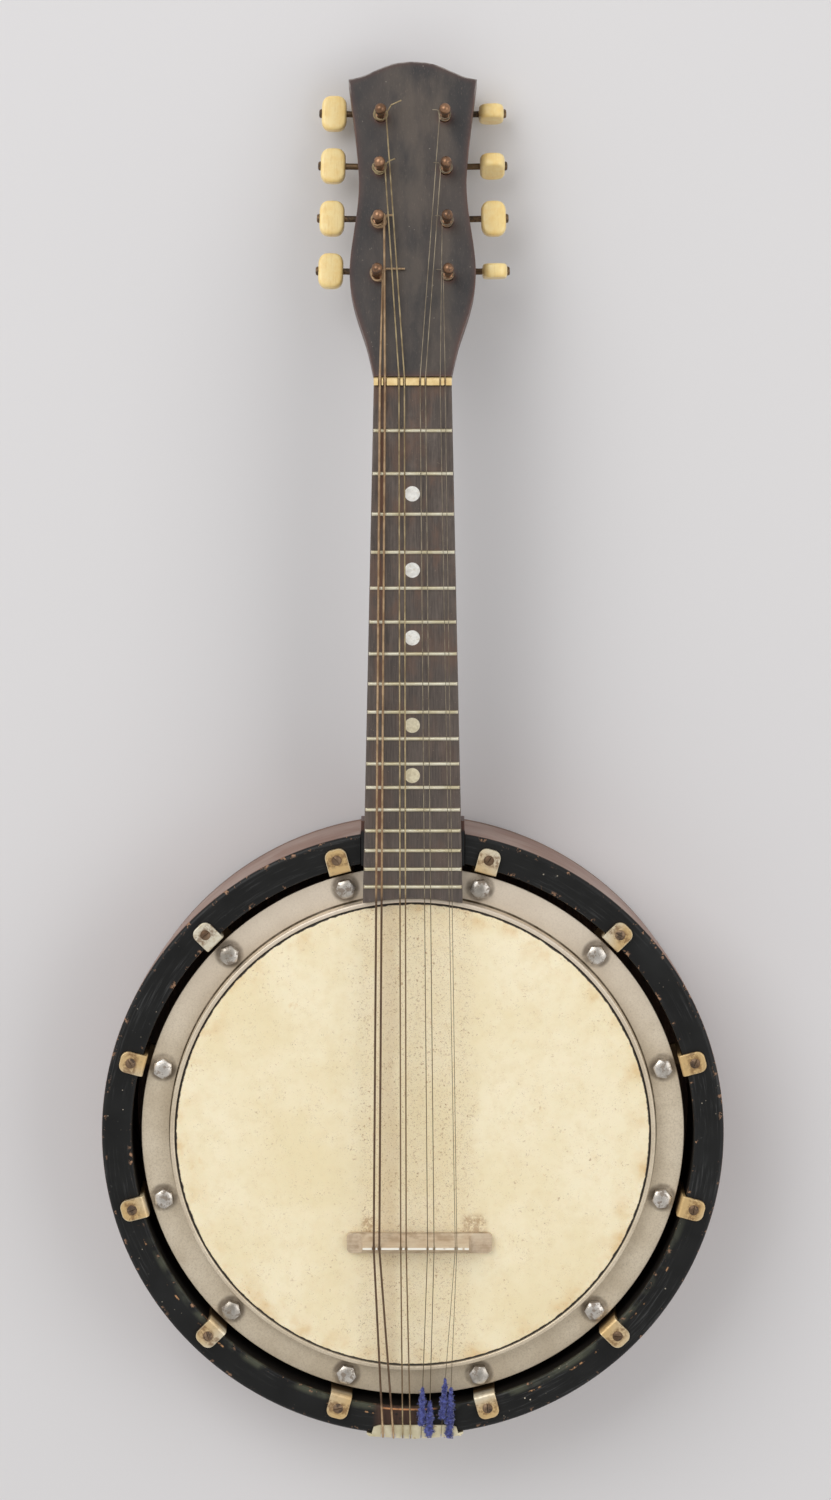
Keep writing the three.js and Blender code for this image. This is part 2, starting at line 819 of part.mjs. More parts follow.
function buildFingerboard() {
  const endAngle = Math.asin(boardEndWidth / 2 / boardEndRadius);
  const outline = new THREE.Shape();
  outline.moveTo(nutWidth / 2, boardNutEnd);
  outline.lineTo(-nutWidth / 2, boardNutEnd);
  outline.absarc(0, 0, boardEndRadius, Math.PI / 2 + endAngle, Math.PI / 2 - endAngle, true);
  const geometry = prismGeometry(outline, boardThickness, boardCurveSteps);
  geometry.translate(0, 0, boardBottom);
  let board = solidOf(geometry);
  for (let number = 1; number <= fretCount; number += 1) {
    const y = fretAt(number);
    const half = boardHalfWidth(y) - fretInset;
    const fret = prismAlongX([
      [y - fretWidth / 2, boardTop - fretTang],
      [y + fretWidth / 2, boardTop - fretTang],
      [y + fretWidth / 2, boardTop + fretWallHeight],
      [y + fretCrownWidth / 2, boardTop + fretHeight],
      [y - fretCrownWidth / 2, boardTop + fretHeight],
      [y - fretWidth / 2, boardTop + fretWallHeight],
    ], -half, half);
    board = board.add(fret);
  }
  return board;
}

function nutStringX(index) {
  return (nutStringShares[index] * nutWidth) / 2;
}

function bridgeStringX(share) {
  return saddleCentre + (share * saddleLength) / 2;
}

// A slot for a string, open upward and through from y0 to y1.
function stringSlot(x, radius, level, y0, y1, top) {
  const half = radius + slotMargin;
  return block(x - half, x + half, y0, y1, level - half, top);
}

function buildNut() {
  const start = nutFrontAt;
  const end = nutFrontAt + nutThickness;
  let nut = prismAlongX([
    [start, boardBottom],
    [end, boardBottom],
    [end, nutTop - nutThickness * cornerShare],
    [end - nutThickness * cornerShare, nutTop],
    [start, nutTop],
  ], -nutWidth / 2, nutWidth / 2);
  stringDiameters.forEach((diameter, index) => {
    const slot = stringSlot(
      nutStringX(index), diameter / 2, stringNutLevel, start - overrun, end + overrun, nutTop + overrun,
    );
    nut = nut.subtract(slot);
  });
  return nut;
}

// Bridge: a long foot with a low arch under it, rising to a thin saddle.
function buildBridge() {
  const bottom = skinTop + clearance;
  const footTopLevel = bottom + bridgeFootHeight;
  const left = bridgeCentre - bridgeLength / 2;
  const right = bridgeCentre + bridgeLength / 2;
  const saddleLeft = saddleCentre - saddleLength / 2;
  const saddleRight = saddleCentre + saddleLength / 2;
  const front = bridgeAt + bridgeDepth / 2;
  const rear = bridgeAt - bridgeDepth / 2;
  const archLeft = bridgeCentre - bridgeArchLength / 2;
  const archRight = bridgeCentre + bridgeArchLength / 2;
  const faceOn = prismAlongY([
    [left, bottom],
    [archLeft, bottom],
    [archLeft + bridgeArchHeight, bottom + bridgeArchHeight],
    [archRight - bridgeArchHeight, bottom + bridgeArchHeight],
    [archRight, bottom],
    [right, bottom],
    [right, footTopLevel],
    [saddleRight + saddleFlare, footTopLevel],
    [saddleRight, bridgeTop],
    [saddleLeft, bridgeTop],
    [saddleLeft - saddleFlare, footTopLevel],
    [left, footTopLevel],
  ], rear, front);
  const endOn = prismAlongX([
    [rear, bottom],
    [front, bottom],
    [front, footTopLevel],
    [bridgeAt + saddleThickness / 2, bridgeTop],
    [bridgeAt - saddleThickness / 2, bridgeTop],
    [rear, footTopLevel],
  ], left - overrun, right + overrun);
  let bridge = faceOn.intersect(endOn);
  const slots = stringDiameters.map((diameter, index) => [bridgeStringShares[index], diameter]);
  slots.push([bridgeSpareSlotShare, stringDiameters[stringDiameters.length - 1]]);
  slots.forEach(([share, diameter]) => {
    const slot = stringSlot(
      bridgeStringX(share), diameter / 2, bridgeTop, rear - overrun, front + overrun, bridgeTop + overrun,
    );
    bridge = bridge.subtract(slot);
  });
  return bridge;
}

// Tailpiece: bent to the body's curve, slotted for the strings, with pins for their looped ends.
function tailStringX(index) {
  return tailCentre + (tailStringShares[index] * tailWidth) / 2;
}

function tailInnerRadius(level) {
  return bodySideRadius(level) + clearance;
}

function tailOuterRadius(level) {
  return tailInnerRadius(level) + tailThickness;
}

// Distance towards the tail of a circle about the drum's axis, at a place across it.
function tailReach(radius, x) {
  return Math.sqrt(radius ** 2 - x ** 2);
}

function hitchRadius(index) {
  const bare = pinRadius + clearance + stringDiameters[index] / 2;
  return bare / Math.cos(Math.PI / (2 * hitchSteps));
}

function pinPlace(index) {
  const drop = index % 2 === 0 ? pinUpperDrop : pinLowerDrop;
  return { x: tailStringX(index) - hitchRadius(index), z: tailLipTop - drop };
}

// The same outline on both sides of the tailpiece's middle, from points on its left half.
function mirrorAboutTail(leftHalf) {
  const rightHalf = leftHalf.map(([x, other]) => [2 * tailCentre - x, other]).reverse();
  return leftHalf.concat(rightHalf);
}

function tailStud(radius, height, x, level) {
  const stud = rodGeometry(radius, -tailThickness / 2, height, shaftSides);
  stud.rotateX(Math.PI / 2);
  stud.translate(x, -tailReach(tailOuterRadius(level), x), level);
  return solidOf(stud);
}

function buildTailpiece() {
  const bottom = tailLipTop - tailDrop;
  const middle = tailLipTop - tailDrop / 2;
  const lipBottom = tailLipTop - tailThickness;
  const left = tailCentre - tailWidth / 2;
  const ear = left - 2 * tailNailRadius;
  const lipFront = tailInnerRadius(bodyDepth) - tailLipReach;
  const far = bodyRadius + overrun;
  const bent = lathe([
    [tailInnerRadius(bottom), bottom],
    [tailOuterRadius(bottom), bottom],
    [tailOuterRadius(middle), middle],
    [tailOuterRadius(bodyDepth), tailLipTop - tailThickness / 2],
    [tailOuterRadius(bodyDepth) - tailThickness / 2, tailLipTop],
    [lipFront - tailCorner, tailLipTop],
    [lipFront - tailCorner, lipBottom],
    [tailInnerRadius(bodyDepth), lipBottom],
    [tailInnerRadius(middle), middle],
    [tailInnerRadius(bottom), bottom],
  ], ringSides);
  const faceOn = prismAlongY(mirrorAboutTail([
    [left + 2 * tailCorner, bottom - overrun],
    [left, bottom + 2 * tailCorner],
    [left, tailLipTop - 2 * tailNailDrop],
    [ear, tailLipTop - tailNailDrop - 2 * tailNailRadius],
    [ear, tailLipTop - tailNailDrop + 2 * tailNailRadius],
    [left, tailLipTop - tailThickness],
    [left, tailLipTop + overrun],
  ]), -far, -lipFront + tailCorner);
  const plan = prismGeometry(polygon(mirrorAboutTail([
    [ear - overrun, -far],
    [ear - overrun, -lipFront - tailCorner],
    [left, -lipFront - tailCorner],
    [left + tailCorner * cornerShare, -lipFront - tailCorner * cornerShare],
    [left + tailCorner, -lipFront],
  ])), tailDrop + 2 * overrun);
  plan.translate(0, 0, bottom - overrun);
  let plate = bent.intersect(faceOn).intersect(solidOf(plan));
  stringDiameters.forEach((diameter, index) => {
    const half = diameter / 2 + slotMargin;
    const x = tailStringX(index);
    const pin = pinPlace(index);
    const slotBottom = pin.z + pinSlotGap;
    const slotInner = -tailReach(tailInnerRadius(slotBottom), Math.abs(x) + half) + clearance;
    plate = plate.subtract(block(x - half, x + half, -far, slotInner, slotBottom, tailLipTop + overrun));
    plate = plate.add(tailStud(pinRadius, pinLength, pin.x, pin.z));
  });
  [ear, 2 * tailCentre - ear].forEach((edge) => {
    const x = edge + Math.sign(tailCentre - edge) * (tailNailRadius + tailNailInset);
    plate = plate.add(tailStud(tailNailRadius, tailNailHeight, x, tailLipTop - tailNailDrop));
  });
  return plate.add(tailStud(tailScrewRadius, tailScrewHeight, tailCentre, tailLipTop - tailScrewDrop));
}

// Post: crowned top, waist for the winding, and the gear on its lower end.
function buildPost() {
  const lap = gearThickness * lapShare;
  const shaft = lathe([
    [0, gearBottom - postStub],
    [postWaistRadius, gearBottom - postStub],
    [postWaistRadius, gearTop - lap],
    [postRadius, gearTop - lap],
    [postRadius, postWaistLow],
    [postWaistRadius, postWaistLow + postWaistRound],
    [postWaistRadius, postWaistHigh - 2 * postWaistRound],
    [postRadius, postWaistHigh],
    [postRadius, postHeight - postCrown],
    [postRadius * postCrownShare, postHeight - postCrown * cornerShare],
    [0, postHeight],
  ], shaftSides);
  const outline = [];
  for (let tooth = 0; tooth < gearTeeth; tooth += 1) {
    const centre = Math.PI / 2 + (2 * Math.PI * (tooth + 1 / 2)) / gearTeeth;
    const rootHalf = toothRootWidth / 2 / gearRootRadius;
    const tipHalf = toothTipWidth / 2 / gearTipRadius;
    const corners = [
      [gearRootRadius, centre - rootHalf],
      [gearTipRadius, centre - tipHalf],
      [gearTipRadius, centre + tipHalf],
      [gearRootRadius, centre + rootHalf],
    ];
    corners.forEach(([radius, angle]) => {
      outline.push([radius * Math.cos(angle), radius * Math.sin(angle)]);
    });
  }
  const gear = prismGeometry(polygon(outline), gearThickness);
  gear.translate(0, 0, gearBottom);
  const twist = wormLead / (2 * Math.PI * wormPitchRadius * gearPitchRadius);
  const places = gear.attributes.position;
  for (let i = 0; i < places.count; i += 1) {
    const angle = twist * (places.getZ(i) - wormLevel);
    const x = places.getX(i) * Math.cos(angle) - places.getY(i) * Math.sin(angle);
    const y = places.getX(i) * Math.sin(angle) + places.getY(i) * Math.cos(angle);
    places.setXYZ(i, x, y, places.getZ(i));
  }
  return solidOf(gear).add(shaft);
}

// Outline of a button: straight sides and arched ends.
function buttonOutline() {
  const halfLength = buttonLength / 2 - buttonRound;
  const halfWidth = buttonWidth / 2 - buttonRound;
  const straight = buttonStraight / 2;
  const shoulder = [
    halfLength * buttonShoulderShare,
    THREE.MathUtils.lerp(straight, halfWidth, 2 * buttonShoulderShare / (1 + buttonShoulderShare)),
  ];
  const corner = [[halfLength, straight], shoulder, [0, halfWidth]];
  const mirrored = corner.slice(0, 2).reverse().map(([x, y]) => [-x, y]);
  const upper = corner.concat(mirrored);
  const lower = upper.map(([x, y]) => [x, -y]).filter(([x, y]) => y < 0).reverse();
  return polygon(upper.concat(lower));
}

// Key, drawn about its worm's centre with the shaft along X: worm, shaft, button and end cap.
function buildKey(side, turn) {
  const points = [];
  const steps = Math.round(wormTurns * wormStepsPerTurn);
  const rootLevel = keyRadius - (wormRadius - keyRadius) * lapShare;
  for (let i = 0; i <= steps; i += 1) {
    const turned = (2 * Math.PI * (i - steps / 2)) / wormStepsPerTurn;
    const x = (wormLead * turned) / (2 * Math.PI);
    const angle = Math.PI + turned;
    points.push(new THREE.Vector3(x, rootLevel * Math.cos(angle), rootLevel * Math.sin(angle)));
  }
  const height = wormRadius - rootLevel;
  const section = polygon([[0, -wormRootWidth / 2], [height, 0], [0, wormRootWidth / 2]]);
  const ridge = new THREE.ExtrudeGeometry(section, { steps, extrudePath: new Ridge(points) });
  const innerEnd = -side * (earSpacing / 2 + earThickness / 2 + keyStub);
  const buttonCentre = side * (buttonAt - stripOffset);
  const buttonEnd = buttonCentre + (side * buttonLength) / 2;
  const capEnd = buttonEnd + side * buttonCapHeight;
  const shaft = crossRod(
    keyRadius, Math.min(innerEnd, buttonCentre), Math.max(innerEnd, buttonCentre), 0, 0, wormStepsPerTurn,
  );
  const button = new THREE.ExtrudeGeometry(buttonOutline(), {
    depth: buttonThickness - 2 * buttonRound,
    bevelThickness: buttonRound,
    bevelSize: buttonRound,
    bevelSegments: 1,
  });
  button.translate(0, 0, buttonRound - buttonThickness / 2);
  button.rotateX(turn);
  button.translate(buttonCentre, 0, 0);
  const cap = crossRod(
    buttonCapRadius, Math.min(buttonCentre, capEnd), Math.max(buttonCentre, capEnd), 0, 0, shaftSides,
  );
  return shaft.add(solidOf(ridge)).add(solidOf(button)).add(cap);
}

// Tuner plate: a strip on the headstock's back with a pair of ears for each worm.
function buildPlate() {
  const start = rowAlongStrip(0) - plateMargin;
  const end = rowAlongStrip(rowCount - 1) + plateMargin;
  const top = plateBack + plateThickness;
  let plate = block(-plateWidth / 2, plateWidth / 2, start, end, plateBack, top);
  for (let row = 0; row < rowCount; row += 1) {
    const post = rowAlongStrip(row);
    const worm = post + wormOffset;
    const hole = rod(postRadius + clearance, 0, post, plateBack - overrun, top + overrun, holeSides);
    plate = plate.subtract(hole);
    for (const direction of [-1, 1]) {
      const ear = (direction * earSpacing) / 2;
      plate = plate.add(block(
        ear - earThickness / 2, ear + earThickness / 2,
        worm - earWidth / 2, worm + earWidth / 2,
        wormLevel - earDrop, plateBack + plateThickness / 2,
      ));
    }
    const reach = earSpacing / 2 + overrun;
    plate = plate.subtract(crossRod(
      keyRadius + clearance, -reach, reach, worm, wormLevel, holeSides,
    ));
  }
  const screwPlaces = [start + 2 * plateScrewRadius];
  for (let row = 0; row < rowCount; row += 2) {
    screwPlaces.push(rowAlongStrip(row) + (wormOffset + postPitch) / 2);
  }
  screwPlaces.forEach((along) => {
    plate = plate.add(rod(
      plateScrewRadius, 0, along, plateBack - plateScrewHeight, top - plateThickness / 2, screwSides,
    ));
  });
  return plate;
}

// A string's looped end round its pin, then up through its slot and over the lip.
function tailRoute(index) {
  const radius = stringDiameters[index] / 2;
  const hitch = hitchRadius(index);
  const pin = pinPlace(index);
  const x = tailStringX(index);
  const nearest = Math.max(0, Math.abs(pin.x + hitch / 2) - 2 * hitch);
  const outside = tailReach(tailOuterRadius(pin.z + pinSlotGap), nearest) + clearance + radius;
  const inSlot = tailReach(bodyRadius + clearance + radius, x);
  const over = tailLipTop + clearance + radius;
  const points = [new THREE.Vector3(pin.x - hitch, -outside, pin.z + hitchRise)];
  for (let i = 0; i <= hitchSteps; i += 1) {
    const angle = Math.PI + (Math.PI * i) / hitchSteps;
    points.push(new THREE.Vector3(
      pin.x + hitch * Math.cos(angle), -outside, pin.z + hitch * Math.sin(angle),
    ));
  }
  const slotBottom = pin.z + pinSlotGap;
  points.push(new THREE.Vector3(x, -outside, slotBottom + clearance));
  points.push(new THREE.Vector3(x, -inSlot, slotBottom + 2 * pinSlotGap));
  points.push(new THREE.Vector3(x, -inSlot, over - radius - clearance));
  points.push(new THREE.Vector3(x, -inSlot + radius + clearance, over));
  return points;
}

// A string's turns round its post, wound downward, and its free end towards the middle.
function windingRoute(index, side, alongStrip) {
  const radius = stringDiameters[index] / 2;
  const coil = (postWaistRadius + clearance + radius) / Math.cos(Math.PI / windingSteps);
  const pitch = stringDiameters[index] + windingGap;
  const steps = windingTurns[index] * windingSteps;
  const { x, along } = postOnHead(side, alongStrip);
  const start = side < 0 ? 0 : Math.PI;
  const points = [];
  for (let i = 0; i <= steps; i += 1) {
    const angle = start - (side * 2 * Math.PI * i) / windingSteps;
    const out = windingHeights[index] - (pitch * i) / windingSteps;
    points.push(headPoint(x + coil * Math.cos(angle), along + coil * Math.sin(angle), out));
  }
  const low = windingHeights[index] - pitch * windingTurns[index];
  const endLength = loopEndLengths[index];
  const rise = loopEndRises[index];
  const [leaves, bends, rises] = loopOutShares.map((share) => x - side * coil * share);
  points.push(headPoint(leaves, along + coil / 2, low));
  points.push(headPoint(bends, along + coil, low));
  points.push(headPoint(rises, along + coil + rise / 4, low + rise / 2));
  points.push(headPoint(x - side * (2 * coil + endLength), along + coil + rise / 2, low + rise));
  return points;
}

// One string from its pin over the tailpiece, bridge and nut to its post.
function stringRoute(index, side, alongStrip) {
  const bridgeX = bridgeStringX(bridgeStringShares[index]);
  const nutX = nutStringX(index);
  return [
    ...tailRoute(index),
    new THREE.Vector3(bridgeX, bridgeAt, bridgeTop),
    new THREE.Vector3(nutX, nutFrontAt, stringNutLevel),
    new THREE.Vector3(nutX, headStart, stringNutLevel),
    ...windingRoute(index, side, alongStrip),
  ];
}

// The least gap between a string and itself, between points at least half a turn apart.
function leastGap(points, diameter, halfTurn) {
  let least = Infinity;
  const run = [0];
  for (let i = 1; i < points.length; i += 1) {
    run.push(run[i - 1] + points[i].distanceTo(points[i - 1]));
  }
  for (let i = 0; i < points.length; i += 1) {
    for (let j = i + 1; j < points.length; j += 1) {
      if (run[j] - run[i] > halfTurn) {
        least = Math.min(least, points[i].distanceTo(points[j]) - diameter);
      }
    }
  }
  return least;
}

addPiece('neck', geometryOf(buildNeck()), darkWood);
addPiece('fingerboard', geometryOf(buildFingerboard()), boardWood);
addPiece('nut', geometryOf(buildNut()), bone);
addPiece('body_rim', geometryOf(buildBodyRim()), blackPaint);
addPiece('body_back', geometryOf(buildBodyBack()), brownWood);
addPiece('tone_hoop', geometryOf(buildToneHoop()), brass);
addPiece('skin_head', geometryOf(buildSkin()), calfSkin);
addPiece('clamp_ring', geometryOf(buildClampRing()), nickel);
addPiece('bridge', geometryOf(buildBridge()), maple);
addPiece('tailpiece', geometryOf(buildTailpiece()), nickel);

const boltGeometry = geometryOf(buildBolt());
const bracketGeometry = geometryOf(buildBracket());
for (let i = 0; i < boltCount; i += 1) {
  const angle = boltAngle(i);
  const bracket = addPiece(`bracket_${i + 1}`, bracketGeometry, brass);
  bracket.rotation.z = angle;
  const bolt = addPiece(`tension_bolt_${i + 1}`, boltGeometry, nickel);
  bolt.position.set(boltCircleRadius * Math.cos(angle), boltCircleRadius * Math.sin(angle), 0);
  bolt.rotation.z = angle;
}

const postGeometry = geometryOf(buildPost());
forEachPost((index, side, alongStrip) => {
  const strip = strips.get(side);
  const post = addPiece(`tuner_post_${index + 1}`, postGeometry, copper, strip);
  post.position.set(0, alongStrip, 0);
  const keyGeometry = geometryOf(buildKey(side, buttonTurns[index]));
  const key = addPiece(`tuner_key_${index + 1}`, keyGeometry, ivoroid, strip);
  key.position.set(0, alongStrip + wormOffset, wormLevel);

  const diameter = stringDiameters[index];
  const points = stringRoute(index, side, alongStrip);
  const halfTurn = Math.PI * (postWaistRadius + clearance + diameter / 2);
  const gap = leastGap(points, diameter, halfTurn);
  console.log(`string_${index + 1}: least gap to itself ${gap.toFixed(2)} mm`);
  const wire = index < rowCount ? woundWire : plainWire;
  const string = geometryOf(tube(points, diameter / 2, stringSides[index]));
  addPiece(`string_${index + 1}`, string, wire);
});

const plateGeometry = geometryOf(buildPlate());
addPiece('tuner_plate_left', plateGeometry, brass, strips.get(-1));
addPiece('tuner_plate_right', plateGeometry, brass, strips.get(1));

export default model;
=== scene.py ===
"""Looks of a banjolin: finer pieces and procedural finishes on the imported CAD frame.

Blender's unit is the metre. Sizes below are real ones in millimetres, turned to metres by mm().
+Z points out of the drum, +Y along the neck, and the origin is the middle of the flat back.
"""
import random
from math import asin, cos, degrees, pi, radians, sin, sqrt

import bmesh
import bpy
from mathutils import Matrix, Vector


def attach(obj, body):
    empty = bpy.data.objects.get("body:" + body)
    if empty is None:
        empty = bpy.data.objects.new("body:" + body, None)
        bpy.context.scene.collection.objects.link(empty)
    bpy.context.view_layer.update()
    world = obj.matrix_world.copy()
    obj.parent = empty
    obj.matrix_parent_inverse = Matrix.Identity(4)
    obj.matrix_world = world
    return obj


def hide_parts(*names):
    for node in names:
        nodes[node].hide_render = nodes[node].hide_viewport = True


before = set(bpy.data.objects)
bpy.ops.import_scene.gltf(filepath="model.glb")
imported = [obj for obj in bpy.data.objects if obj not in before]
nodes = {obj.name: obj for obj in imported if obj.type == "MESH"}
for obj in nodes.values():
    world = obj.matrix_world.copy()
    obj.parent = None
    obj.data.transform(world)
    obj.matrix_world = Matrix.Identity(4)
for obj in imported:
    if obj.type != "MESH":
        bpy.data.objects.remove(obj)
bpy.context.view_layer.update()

# Camera, fitted to the frets, rings and bolts of the photograph
CAMERA_TARGET = (1.12, 161.3, 52.1)
CAMERA_DISTANCE = 2200
CAMERA_LEAN = radians(9.9)
CAMERA_SCALE = 2.437
IMAGE_HEIGHT = 1500
SENSOR = 36

# Lamps, with their places and powers in watts, and the floor, in metres
LAMPS = (("key", (-1.2, 1.5, 2.0), 30), ("fill", (1.9, 0.4, 2.2), 16))
LAMP_SIZE = 1.8
LAMP_TARGET = (0, 0.15, 0)
FLOOR_HALF = 6
FLOOR_DROP = 0.0002

# Room: where its darker patch overhead starts and is full, and its strength outside and in the patch
ROOM_SHADE = {"From Min": 0.82, "From Max": 0.97, "To Min": 0.66, "To Max": 0.26}

# Instrument, as in the CAD part
CLEARANCE = 0.3
BODY_RADIUS = 129
BODY_TAPER = 4
SIDE_BULGE = 2
BODY_DEPTH = 58
BACK_THICKNESS = 5
WELL_RADIUS = 116.6
CLAMP_TOP = 52.1
CLAMP_THICKNESS = 2
CLAMP_RADIUS = 112.7
HOOP_OUTER = 100.7
HOOP_INNER = 98.7
HOOP_TOP = 58.6
SKIN_RADIUS = 98.4
SKIN_THICKNESS = 0.5
SKIN_TOP = 58.2
FLESH_RADIUS = 1.5
FLESH_OUT = 1.7
TONE_INNER = 94.6
BOLT_COUNT = 12
BOLT_CIRCLE = 107.2
BOLT_ACROSS = 7.3
BOLT_HEIGHT = 4
BOLT_RADIUS = 2
BOLT_SHANK = 24.9
BOLT_TWIST = 37
BRACKET_WIDTH = 9
BRACKET_THICKNESS = 1.6
BRACKET_CORNER = 3.2
BRACKET_SCREW_RADIUS = 2.1
BRACKET_SCREW_TWIST = 53
FOOT_TOP = 35.7
FOOT_BOTTOM = 32.7
SCREW_CIRCLE = 120.7

SCALE_LENGTH = 330
NUT_AT = 312.9
NUT_THICKNESS = 2.95
NUT_WIDTH = 31.5
NUT_RISE = 1.9
NUT_ROUND = 1.1
NECK_TOP = 58.9
NECK_HALF = 21.2
NECK_DEPTH = 19
NECK_DEPTH_GAIN = 5
HEEL_LENGTH = 46
HEEL_DEPTH = 21
TONGUE_DEPTH = 11
POLE_WIDTH = 20
POLE_DEPTH = 16
POLE_BOTTOM = 18
BOARD_BOTTOM = 59.2
BOARD_TOP = 64.2
BOARD_END_RADIUS = 101.6
BOARD_END_WIDTH = 41
FRET_COUNT = 17
FRET_WIDTH = 1.5
FRET_HEIGHT = 0.9
DOT_FRETS = (3, 5, 7, 10, 12)
DOT_RADIUS = 3.1
DOT_CROSS = -0.2
HEAD_ORIGIN = (0, 315.85, 62.1)
HEAD_ANGLE = radians(17)
HEAD_THICKNESS = 15
HEAD_LENGTH = 130.3
HEAD_CREST = ((15.5, 124.4), (13, HEAD_LENGTH), (0, HEAD_LENGTH))
HEAD_WIDTHS = ((31, 0), (36.5, 12.5), (51, 41), (43.6, 80), (52.2, 122.9))

STRIP_OFFSET = 13.65
STRIP_MIDDLE = 74.7
STRIP_SPLAY = radians(1.15)
POST_PITCH = 21.9
POST_RADIUS = 2.25
POST_WAIST = 1.4
POST_WAIST_FROM = 0.9
POST_WAIST_TO = 9.6
POST_FLARE_TO = 10.9
POST_DOME_AT = 13.2
PLATE_THICKNESS = 1.2
PLATE_HALF = 7.5
PLATE_CORNER = 3
PLATE_END = 12
PLATE_SCREW_RADIUS = 2.1
PLATE_SCREW_INSET = 4.2
PLATE_SCREW_TWISTS = (40, 105, 170)
EAR_ASIDE = 5.2
EAR_RADIUS = 2.8
EAR_DROP = 4.2
EAR_HALF = 0.6
ROWS = 4
GEAR_TEETH = 12
GEAR_TIP = 3.9
GEAR_ROOT = 2.95
GEAR_THICKNESS = 2.8
GEAR_DROP = 1.4
WORM_OFFSET = 5.4
WORM_RADIUS = 2.25
WORM_TURNS = 2
KEY_RADIUS = 1.3
KEY_INNER_END = 6.8
BUTTON_AT = 32.9
BUTTON_LENGTH = 10.2
BUTTON_WIDTH = 14.5
BUTTON_STRAIGHT = 6.4
BUTTON_THICKNESS = 5.8
BUTTON_TURNS = (0, 0, 0, 0, 89, 75, 0, 98)

BRIDGE_AT = -45.05
BRIDGE_CENTRE = 2.75
BRIDGE_LENGTH = 60.3
BRIDGE_DEPTH = 8.5
BRIDGE_TOP = 70.2
BRIDGE_CORNER = 1.9
BRIDGE_FOOT = 2.6
BRIDGE_ARCH_HALF = 17
BRIDGE_ARCH_RISE = 1.2
BRIDGE_SCOOP = 3
BRIDGE_SHOULDER_OUT = 2.6
BRIDGE_SHOULDER_UP = 2.4
CREST_FRONT = 0.6
CREST_REAR = 0.5
SADDLE_CENTRE = 1.2
SADDLE_LENGTH = 44
TAIL_CENTRE = 0.9
TAIL_WIDTH = 36
TAIL_THICKNESS = 0.9
TAIL_TOP = 59.2
PIN_RADIUS = 0.8
PIN_DROPS = (13, 20)
PIN_SLOT_GAP = 1.8
HITCH_RISE = 1.4

STRING_DIAMETERS = (0.9, 0.9, 0.6, 0.6, 0.36, 0.36, 0.25, 0.25)
STRING_ACTION = 1.6
NUT_SHARES = (-0.841, -0.71, -0.352, -0.213, 0.189, 0.327, 0.704, 0.83)
BRIDGE_SHARES = (-0.79, -0.684, -0.282, -0.179, 0.224, 0.346, 0.745, 0.775)
SPARE_NOTCH = (0.9, 0.25)
TAIL_SHARES = (-0.743, -0.499, -0.285, -0.104, 0.14, 0.326, 0.605, 0.791)
WINDING_TURNS = (2, 3, 3, 3, 3, 3, 3, 3)
WINDING_HEIGHTS = (4.3, 6.6, 6.4, 6.4, 5.6, 5.6, 5.6, 4.2)
WINDING_GAP = 0.5
END_LENGTHS = (6.5, 1, 2, 4, 1, 1, 1, 1)
END_RISES = (0, 0, 2, 5, 0, 0, 0, 0)
COIL_STEPS = 24

# Sides of round shapes, from the body's to a small hole's
LARGE_SIDES = 256
RING_SIDES = 192
SMALL_SIDES = 24

# Edges sharper than this stay sharp when shaded and are the ones that are rounded, in degrees
SHARP_ANGLE = 35
BOLT_SHARP_ANGLE = 24

SILK_SEED = 5
SILK_STRANDS = 7
SILK_WISPS = 70
STRAND_RADIUS = 0.15
WISP_RADIUS = 0.08

# Silk on a string: its index, where it ends and starts along the neck, and its reach
SILK_WRAPS = ((4, -124, -107, 2.0), (5, -129.5, -113, 2.1), (6, -121, -103, 1.9), (7, -129.5, -107, 2.3))


def mm(value):
    """Millimetres, as a number or a sequence, in metres."""
    if isinstance(value, (int, float)):
        return value / 1000
    return Vector([v / 1000 for v in value])


def tone(red, green, blue):
    """A colour as the photograph shows it, 0 to 255, for a shader."""
    def linear(channel):
        share = channel / 255
        return share / 12.92 if share <= 0.04045 else ((share + 0.055) / 1.055) ** 2.4
    return (linear(red), linear(green), linear(blue), 1)


def link(thing):
    bpy.context.collection.objects.link(thing)
    return thing


